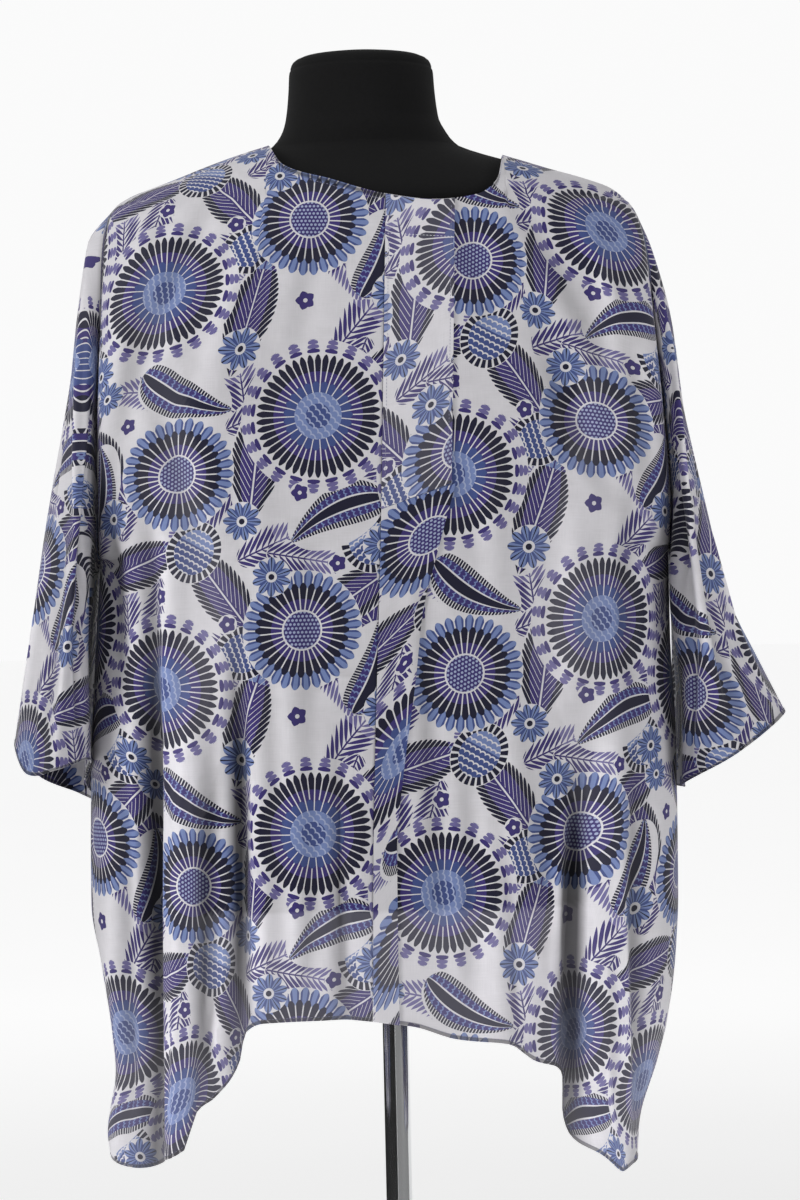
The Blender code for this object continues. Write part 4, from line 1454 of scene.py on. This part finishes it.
def paisley(x, y):
    """A bent drop with a fringe, a field of scales and a dark kernel."""
    bent = y - 0.34 * x * x + 0.17
    width = root(formula("MAXIMUM", 1.0 - x * x, 0.0)) * (0.62 - 0.34 * x)
    share = size_of(bent) / formula("MAXIMUM", width, 0.001)
    field = pick(scales(x, y, 8.0), LIGHT, VIOLET)
    core = pick(share < 0.24, NAVY, pick(share < 0.32, GROUND, field))
    fringe = pick(from_middle(x * 17.0) < 0.34, NAVY, GROUND)
    rim = pick(share < 0.70, core, fringe)
    return pick(share < 1.0, rim, GROUND)


def flower(x, y):
    """A small flower with ten petals."""
    r, turn = polar(x, y)
    off = from_middle(turn * 10.0)
    petals = pick(off < 0.06, NAVY, pick(off < 0.3, LIGHT, MID))
    petals = pick(r < 1.0 - 1.3 * off * off, petals, GROUND)
    return pick(r < 0.28, pick(r < 0.15, NAVY, GROUND), petals)


def sprig(x, y):
    """A stem with pairs of small leaves."""
    away = size_of(y)
    off = from_middle((x - 0.5 * away) * 6.6) * 2.0
    share = away / (1.05 - 0.55 * size_of(x + 0.1))
    leaflet = (off < 3.2 * share * (1.0 - share)) * (share < 1.0)
    stem = (away < 0.045) * (size_of(x) < 0.95)
    return pick(leaflet + stem > 0.5, pick(x > 0.0, LILAC, VIOLET), GROUND)


def seed(x, y):
    """A seed head covered with scales, with a fringe."""
    r, turn = polar(x, y)
    scale = pick(scales(x, y, 5.0), GROUND, pick(x > 0.2, LIGHT, MID))
    fringe = pick(from_middle(turn * 26.0) < 0.33, NAVY, GROUND)
    return pick(r < 0.72, scale, pick(r < 0.98, fringe, GROUND))


def berry(x, y):
    """A small bud of five petals."""
    r, turn = polar(x, y)
    off = from_middle(turn * 5.0)
    return pick(r < 0.92 - off * 0.5, pick(r < 0.2, GROUND, VIOLET), GROUND)


DRAW = {
    "rosette": rosette,
    "double": double,
    "leaf": leaf,
    "paisley": paisley,
    "flower": flower,
    "sprig": sprig,
    "seed": seed,
    "berry": berry,
}


def place_motifs(u, v):
    """The local place in the topmost motif, from -1 to 1 each way, and the motif's number."""
    tree = u.socket.id_data
    numbers = list(DRAW)
    width, height = REPEAT
    leaning = v - u * DROP
    found = (0.0, 0.0, 0.0)
    for motif in LAYOUT:
        level = motif.y - DROP * motif.x
        near_u = formula("WRAP", u, motif.x + width / 2, motif.x - width / 2) - motif.x
        near_v = formula("WRAP", leaning, level + height / 2, level - height / 2) - level
        turned, up = cos(radians(motif.turn)), sin(radians(motif.turn))
        long, wide = 1 / motif.half_length, 1 / motif.half_width
        x = formula("MULTIPLY_ADD", near_u, (turned + DROP * up) * long, near_v * (up * long))
        y = formula("MULTIPLY_ADD", near_u, (DROP * turned - up) * wide, near_v * (turned * wide))
        inside = formula("MULTIPLY_ADD", x, x, y * y) < 1.0
        here = combined(tree, (x, y, 1 + numbers.index(motif.kind)))
        found = mix(tree, "VECTOR", inside, found, here)
    return components(tree, found)


def print_group():
    """The ink's colour by the place on the flat cloth, in centimetres."""
    tree = bpy.data.node_groups.new("botanical_print", "ShaderNodeTree")
    for name, way, kind in (
        ("U", "INPUT", "Float"),
        ("V", "INPUT", "Float"),
        ("Color", "OUTPUT", "Color"),
        ("Ink", "OUTPUT", "Float"),
    ):
        tree.interface.new_socket(name, in_out=way, socket_type="NodeSocket" + kind)
    start = tree.nodes.new("NodeGroupInput")
    end = tree.nodes.new("NodeGroupOutput")
    x, y, number = place_motifs(Field(start.outputs["U"]), Field(start.outputs["V"]))
    shade = None
    for i, draw in enumerate(DRAW.values()):
        drawn = draw(x, y) * formula("COMPARE", number, i + 1.0, 0.4)
        shade = drawn if shade is None else shade + drawn
    ramp = new_node(tree, "ValToRGB")
    ramp.color_ramp.interpolation = "CONSTANT"
    stops = ramp.color_ramp.elements
    while len(stops) < len(INK):
        stops.new(0.5)
    for i, colour in enumerate(INK.values()):
        stops[i].position = max((i - 0.5) / len(INK), 0.0)
        stops[i].color = (*linear(colour), 1)
    feed(ramp.inputs[0], shade / len(INK))
    feed_all(end, {"Color": ramp.outputs[0], "Ink": shade > 0.5})
    return tree


def new_material(name):
    made = bpy.data.materials.new(name)
    made.use_nodes = True
    return made, made.node_tree, made.node_tree.nodes["Principled BSDF"]


def noise(tree, vector, scale, detail=2.0):
    node = new_node(tree, "TexNoise")
    feed_all(node, {"Scale": scale, "Detail": detail, "Vector": vector})
    return Field(node.outputs[0])


def between(value, low, high):
    """A share from 0 to 1 turned into a range."""
    return formula("MULTIPLY_ADD", value, high - low, low)


def add_bump(tree, height, strength, distance, shader):
    bump = new_node(tree, "Bump")
    feed_all(bump, {"Height": height, "Strength": strength, "Distance": distance})
    feed(shader.inputs["Normal"], bump.outputs[0])


def scaled_map(tree, vector, scale):
    node = new_node(tree, "VectorMath", operation="MULTIPLY")
    feed_all(node, {0: vector, 1: scale})
    return node.outputs[0]


WHITE = (1.0, 1.0, 1.0, 1.0)
MATT = 0.9

# Printed crepe: its threads' noise, by how it is stretched and scaled, and the tones and
# roughness between which the cloth varies. The print's unit is a centimetre of flat cloth
PRINT_UNITS = 100.0
WARP = ((1.0, 0.02, 0.0), 2600.0)
WEFT = ((0.025, 1.0, 0.0), 2100.0)
SLUB_TONES = (0.80, 1.16)
BLOTCH_SCALE = 60.0
BLOTCH_TONES = (0.92, 1.10)
CREPE_ROUGHNESS = (0.58, 0.66)
WEAVE_SHARE = 0.4
THREAD_PITCH = 0.00045
# Painted light from behind: the share and colour by which the cloth is paler where no dark form lies
# behind it
PAINTED_SHEER_LIGHT = 0.085
PAINTED_SHEER_PALE = (0.90, 0.87, 0.94, 1.0)
TRANSLUCENT_SHARE = 0.22
# Painted shade and highlight: the cloth is painted darker in a trough and lighter on a ridge, for each
# millimetre of its depth or height up to a limit, darker in a hem, partly for its layers and partly as
# painted shade, and darker over the dark form
FOLD_SHADE_TONE = 0.072
DEEPEST_FOLD = -10.0
HIGHEST_FOLD = 5.0
HEM_LAYER_SHADE = 0.68
BACKING_SHADE_TONE = 0.13


def stored(tree, name):
    """A value stored at the points of the mesh."""
    return Field(new_node(tree, "Attribute", attribute_name=name).outputs["Fac"])


def cloth_material(print_tree):
    """Half sheer silk crepe: the print, slubs, a fine weave, light that comes through, and painted shade
    and highlight by folds, hems and what lies behind.
    """
    made, tree, shader = new_material("printed_crepe")
    flat = new_node(tree, "UVMap", uv_map="flat").outputs[0]
    u, v, _ = components(tree, flat)
    ink = new_node(tree, "Group", node_tree=print_tree)
    feed_all(ink, {"U": u * PRINT_UNITS, "V": v * PRINT_UNITS})
    warp, weft = (
        noise(tree, scaled_map(tree, flat, stretch), scale) for stretch, scale in (WARP, WEFT)
    )
    slub = between(warp * 0.5 + weft * 0.5, *SLUB_TONES)
    blotch = between(noise(tree, flat, BLOTCH_SCALE, 3.0), *BLOTCH_TONES)
    # Painted shade in troughs and painted highlight on ridges, by the stored depth
    shade_depth = formula("MINIMUM", stored(tree, "relief"), HIGHEST_FOLD)
    folded = formula("MAXIMUM", shade_depth, DEEPEST_FOLD) * FOLD_SHADE_TONE + 1.0
    backing_shade = stored(tree, "painted_backing_shade")
    # Darker in the hem, partly for its layers, and with painted shade over the dark form and the sides
    layers_and_backing_shade = (1.0 - stored(tree, "hem") * HEM_LAYER_SHADE) * (1.0 - backing_shade * BACKING_SHADE_TONE)
    # Random slub and blotch tones, times the painted shade and highlight
    tone = combined(tree, [slub * blotch * folded * layers_and_backing_shade] * 3)
    inked = mix(tree, "RGBA", 1.0, ink.outputs["Color"], tone, "MULTIPLY")
    # Paler with painted light from behind, where the form is not behind the cloth
    colour = mix(tree, "RGBA", (1.0 - backing_shade) * PAINTED_SHEER_LIGHT, inked, PAINTED_SHEER_PALE)
    rough = between(Field(ink.outputs["Ink"]), *CREPE_ROUGHNESS)
    feed_all(shader, {"Base Color": colour, "Roughness": rough, "Specular IOR Level": 0.35})
    feed_all(shader, {"Sheen Weight": 0.12, "Sheen Roughness": 0.4})
    warp_wave = formula("SINE", u * (2 * pi / THREAD_PITCH))
    weft_wave = formula("SINE", v * (2 * pi / THREAD_PITCH))
    add_bump(tree, warp_wave * weft_wave * WEAVE_SHARE + slub, 0.25, 0.00012, shader)
    through = new_node(tree, "BsdfTranslucent")
    feed(through.inputs["Color"], colour)
    both = new_node(tree, "MixShader")
    feed_all(both, {0: TRANSLUCENT_SHARE, 1: shader.outputs[0], 2: through.outputs[0]})
    feed(tree.nodes["Material Output"].inputs["Surface"], both.outputs[0])
    return made


def object_place(tree):
    return new_node(tree, "TexCoord").outputs["Object"]


# Black jersey, with its ribs' waves for each radian round the form and each metre up it
JERSEY_COLOUR = (0.0048, 0.0048, 0.0050)
RIBS_ROUND = 620.0
RIBS_UP = 5200.0
LINT_SCALE = 420.0
CLOUD_SCALE = 9.0
JERSEY_TONES = (0.3, 1.7)
JERSEY_ROUGHNESS = (0.82, 1.0)


def jersey_material():
    """Matt black stretch jersey with fine ribs and a little lint."""
    made, tree, shader = new_material("black_jersey")
    place = object_place(tree)
    x, y, z = components(tree, place)
    turn = formula("ARCTAN2", y, x)
    rib = formula("SINE", turn * RIBS_ROUND) * formula("SINE", z * RIBS_UP)
    lint = noise(tree, place, LINT_SCALE, 4.0)
    cloudy = noise(tree, place, CLOUD_SCALE, 3.0)
    shade = between(lint * 0.6 + cloudy * 0.4, *JERSEY_TONES)
    tone = combined(tree, [shade * amount for amount in JERSEY_COLOUR])
    rough = between(lint, *JERSEY_ROUGHNESS)
    feed_all(shader, {"Base Color": tone, "Roughness": rough, "Specular IOR Level": 0.08})
    feed_all(shader, {"Sheen Weight": 0.02, "Sheen Roughness": 0.5})
    add_bump(tree, rib * 0.3 + lint, 0.3, 0.0003, shader)
    return made


METAL_TONES = (0.94, 1.04)


def metal_material(name, colour, roughness, scale, stretch, bump):
    """Metal whose roughness varies with fine marks."""
    made, tree, shader = new_material(name)
    marks = noise(tree, scaled_map(tree, object_place(tree), stretch), scale, 3.0)
    shade = between(marks, *METAL_TONES)
    tone = combined(tree, [shade * amount for amount in colour])
    rough = between(marks, *roughness)
    feed_all(shader, {"Base Color": tone, "Metallic": 1.0, "Roughness": rough})
    add_bump(tree, marks, bump, 0.0002, shader)
    return made


TWIST_SCALE = 3000.0


# Thread with painted shade and highlight: its colour goes by fine noise from a shaded tone to a lit one
def thread_material(name, shaded, lit):
    made, tree, shader = new_material(name)
    highlight_share = noise(tree, object_place(tree), TWIST_SCALE)
    colour = mix(tree, "RGBA", highlight_share, (*shaded, 1), (*lit, 1))
    feed_all(shader, {"Base Color": colour, "Roughness": 0.6})
    return made


# The floor's glow: from one distance to another, in metres, it grows from one strength to another
FLOOR_GLOW = {"From Min": 0.5, "From Max": 5.5, "To Min": 0.3, "To Max": 0.66}
FLOOR_COLOURS = ((0.80, 0.80, 0.80, 1), (0.84, 0.84, 0.84, 1))
FLOOR_SIZE = 120.0


def floor_material():
    """Pale floor, plain round the stand and lit up to the backdrop's white farther away."""
    made, tree, shader = new_material("studio_floor")
    place = object_place(tree)
    colour = mix(tree, "RGBA", noise(tree, place, 1.5), *FLOOR_COLOURS)
    feed_all(shader, {"Base Color": colour, "Roughness": MATT, "Specular IOR Level": 0.05})
    far = new_node(tree, "VectorMath", operation="LENGTH")
    feed(far.inputs[0], place)
    glow = new_node(tree, "MapRange", interpolation_type="SMOOTHSTEP")
    feed_all(glow, {**FLOOR_GLOW, "Value": far.outputs["Value"]})
    feed_all(shader, {"Emission Color": WHITE, "Emission Strength": glow.outputs[0]})
    return made


# How far a look through the cloth reaches and how far apart its rays lie, in metres, for painted shade
# over the form, and what lies behind cloth that hangs clear of the form, for painted shade near the
# sides: folds and more cloth
LOOK_REACH = 0.26
LOOK_SPREAD = 0.012
LOOKS = (-1, 0, 1)
SIDE_START = 0.125
SIDE_REACH = 0.075
SIDE_BACKING = 0.9
SIDE_FOOT = 0.52
SIDE_FOOT_REACH = 0.16
BAND_BACKING = 0.35


def mark_backing_shade(piece, form_tree, direction, most=1.0):
    """Store at each point how dark the things behind the half sheer cloth are, for the painted shade over
    them.
    """
    shares = []
    for vertex in piece.data.vertices:
        hits = 0
        for step in LOOKS:
            start = vertex.co + Vector((step * LOOK_SPREAD, 0, 0))
            hits += form_tree.ray_cast(start, direction, LOOK_REACH)[0] is not None
        # Painted shade near the sides, where more cloth hangs behind, fading out towards the hem
        side = SIDE_BACKING * float(smoothstep((abs(vertex.co.x) - SIDE_START) / SIDE_REACH))
        side *= float(smoothstep((vertex.co.z - SIDE_FOOT) / SIDE_FOOT_REACH))
        shares.append(min(max(hits / len(LOOKS), side), most))
    store(piece.data, "painted_backing_shade", shares)


def make_floor(material):
    bpy.ops.mesh.primitive_plane_add(size=FLOOR_SIZE)
    floor = bpy.context.object
    floor.name = "studio_floor"
    floor.data.materials.append(material)


# Low screens out of sight, which the pole reflects as in the photograph: a dark one on the left
# and a grey one on the right, each with the turns that it spans and its brightness
SCREEN_RADIUS = 1.3
SCREEN_HEIGHT = 0.62
SCREEN_STEPS = 24
SCREEN_COLOUR = (0.01, 0.01, 0.01, 1)
SCREENS = {"dark_screen": ((100, 262), 0.0), "grey_screen": ((264, 372), 0.24)}


def make_screen(name, span, brightness):
    made, _, shader = new_material(name)
    feed_all(shader, {"Base Color": SCREEN_COLOUR, "Roughness": MATT})
    feed_all(shader, {"Emission Color": WHITE, "Emission Strength": brightness})
    turns = np.radians(np.linspace(*span, SCREEN_STEPS + 1))
    rim = [(SCREEN_RADIUS * cos(t), SCREEN_RADIUS * sin(t)) for t in turns]
    points = [(x, y, z) for z in (0.0, SCREEN_HEIGHT) for x, y in rim]
    above = len(rim)
    faces = [(i, i + 1, i + 1 + above, i + above) for i in range(SCREEN_STEPS)]
    screen = add_mesh(name, points, faces, made)
    screen.visible_camera = False
    screen.visible_diffuse = False
    screen.visible_shadow = False


def add_softbox(box):
    light = bpy.data.lights.new(box.name, "AREA")
    light.shape = "RECTANGLE"
    light.size, light.size_y = box.width, box.height
    light.energy = box.power
    lamp = add_object(box.name, light)
    lamp.location = box.place
    way = Vector(box.target) - Vector(box.place)
    lamp.rotation_euler = way.to_track_quat("-Z", "Y").to_euler()


Softbox = namedtuple("Softbox", "name place target width height power")
SOFTBOXES = [
    Softbox("key", (-2.9, -1.4, 2.0), (0, 0, 0.9), 0.9, 1.8, 79),
    Softbox("fill", (2.4, -2.0, 1.3), (0, 0, 0.85), 1.2, 1.8, 45),
    Softbox("top", (-0.3, -0.5, 3.0), (0, 0, 1.0), 1.4, 1.0, 18),
]
# The backdrop's white, and the room's light from in front to behind, with its change over the room
ROOM_WHITE = 0.96
ROOM_FRONT = 0.10
ROOM_BACK = 0.62
ROOM_SLOPE = 0.8
ROOM_MIDDLE = 0.4
ROOM_SOFTNESS = 0.2


def make_light():
    """Plain soft studio light: a white backdrop, a dim room in front of it and softboxes."""
    world = bpy.data.worlds.new("studio")
    world.use_nodes = True
    tree = world.node_tree
    _, y, _ = components(tree, new_node(tree, "TexCoord").outputs["Generated"])
    ahead = formula("MAXIMUM", y * ROOM_SLOPE + ROOM_MIDDLE, 0.0)
    room = between(formula("SMOOTH_MIN", ahead, 1.0, ROOM_SOFTNESS), ROOM_FRONT, ROOM_BACK)
    seen = Field(new_node(tree, "LightPath").outputs["Is Camera Ray"])
    background = tree.nodes["Background"]
    feed_all(background, {"Color": WHITE, "Strength": pick(seen, ROOM_WHITE, room)})
    bpy.context.scene.world = world
    for box in SOFTBOXES:
        add_softbox(box)


# The camera stands where the photograph's did, three metres in front, with its slight roll
CAMERA_DISTANCE = 3.0
VIEW_HEIGHT = 1.02
SENSOR = 36.0
CAMERA_X = 0.012
CAMERA_HEIGHT = 0.934
CAMERA_ROLL = 0.0227


def make_camera():
    data = bpy.data.cameras.new("photo_camera")
    data.sensor_fit = "VERTICAL"
    data.sensor_height = SENSOR
    data.lens = SENSOR * CAMERA_DISTANCE / VIEW_HEIGHT
    camera = add_object("photo_camera", data)
    camera.location = (CAMERA_X, -CAMERA_DISTANCE, CAMERA_HEIGHT)
    camera.rotation_euler = Euler((radians(90), 0, 0))
    camera.rotation_euler.rotate(Euler((0, CAMERA_ROLL, 0)))
    bpy.context.scene.camera = camera


def row_line(panel, row, columns=slice(None), lift=HEM_RISE):
    ways = panel.normals[row, columns]
    return panel.grid[row, columns] + ways * lift, ways


def level_line(panel, start, end):
    """A line across a strip, from a height at its first edge to a height at its last one."""
    points, ways = [], []
    for place, height in enumerate(np.linspace(start, end, panel.grid.shape[1])):
        down = -panel.grid[:, place, 2]
        points.append([np.interp(-height, down, panel.grid[:, place, i]) for i in range(3)])
        ways.append([np.interp(-height, down, panel.normals[:, place, i]) for i in range(3)])
    return np.array(points), np.array(ways)


cloth = cloth_material(print_group())
thread = thread_material("violet_thread", shaded=(0.10, 0.10, 0.17), lit=(0.28, 0.28, 0.38))
pale_thread = thread_material("pale_thread", shaded=(0.55, 0.56, 0.62), lit=(0.82, 0.82, 0.86))
jersey = jersey_material()
chrome = metal_material(
    "polished_chrome",
    colour=(0.78, 0.79, 0.80),
    roughness=(0.05, 0.16),
    scale=60.0,
    stretch=(1, 1, 0.2),
    bump=0.02,
)
steel = metal_material(
    "satin_steel",
    colour=(0.62, 0.63, 0.64),
    roughness=(0.28, 0.42),
    scale=90.0,
    stretch=(0.2, 1, 1),
    bump=0.05,
)

form = make_form(jersey)
stand = make_stand(chrome, steel)
fronts = {side: make_front(side) for side in SIDE_SIGN}
back, back_halves = make_back()
sleeves = {side: make_sleeve(side, fronts[side].grid, back_halves[side]) for side in SIDE_SIGN}
band = make_band()
pleat = make_pleat()

form_tree = BVHTree.FromObject(form, bpy.context.evaluated_depsgraph_get())
backwards, forwards = Vector((0, 1, 0)), Vector((0, -1, 0))
for panel in (*fronts.values(), pleat, *sleeves.values()):
    mark_backing_shade(panel.piece, form_tree, backwards)
mark_backing_shade(band.piece, form_tree, backwards, BAND_BACKING)
mark_backing_shade(back.piece, form_tree, forwards)

NECK_STITCHES = [
    (fronts["right"], slice(1, NECK_COLUMNS)),
    (fronts["left"], slice(BAND_COLUMNS, NECK_COLUMNS)),
    (back, slice(SHOULDER_COLUMNS + 1, -SHOULDER_COLUMNS - 1)),
]
STITCHES = {
    "hem_stitches": ([row_line(panel, HEM_ROW) for panel in (*fronts.values(), back)], thread),
    "cuff_stitches": ([row_line(panel, HEM_ROW) for panel in sleeves.values()], thread),
    "neck_stitches": (
        [row_line(panel, NECK_HEM_ROW, columns, 0.0) for panel, columns in NECK_STITCHES],
        thread,
    ),
    "band_edge_stitches": ([(band.grid[2:-2, c], band.normals[2:-2, c]) for c in (1, -2)], thread),
    "band_cross_stitches": ([level_line(band, *BAND_STITCH_HEIGHTS)], pale_thread),
}
threads = [make_stitches(name, *lines_and_thread) for name, lines_and_thread in STITCHES.items()]

CLOTHS = {
    "front_right": (fronts["right"].piece, (0.36, 0.94), 0.247),
    "front_left": (fronts["left"].piece, (0.36, 0.93), 0.241),
    "back": (back.piece, (0.64, 0.94), 0.46),
    "sleeve_right": (sleeves["right"].piece, (0.44, 0.47), 0.142),
    "sleeve_left": (sleeves["left"].piece, (0.44, 0.46), 0.1375),
    "band": (band.piece, (0.06, 0.264), 0.0146),
    "pleat": (pleat.piece, (0.06, 0.446), 0.0131),
}
for node, (piece, flat_size, area) in CLOTHS.items():
    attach(piece, "root")
    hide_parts(node)
for piece in threads:
    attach(piece, "root")
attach(form, "root")
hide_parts("dress_form")
for node, piece in stand.items():
    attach(piece, "root")
    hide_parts(node)
    "base_steel" if node == "base" else "chrome"

make_floor(floor_material())
for name, (span, brightness) in SCREENS.items():
    make_screen(name, span, brightness)
make_light()
make_camera()
bpy.context.scene.view_settings.view_transform = "Standard"
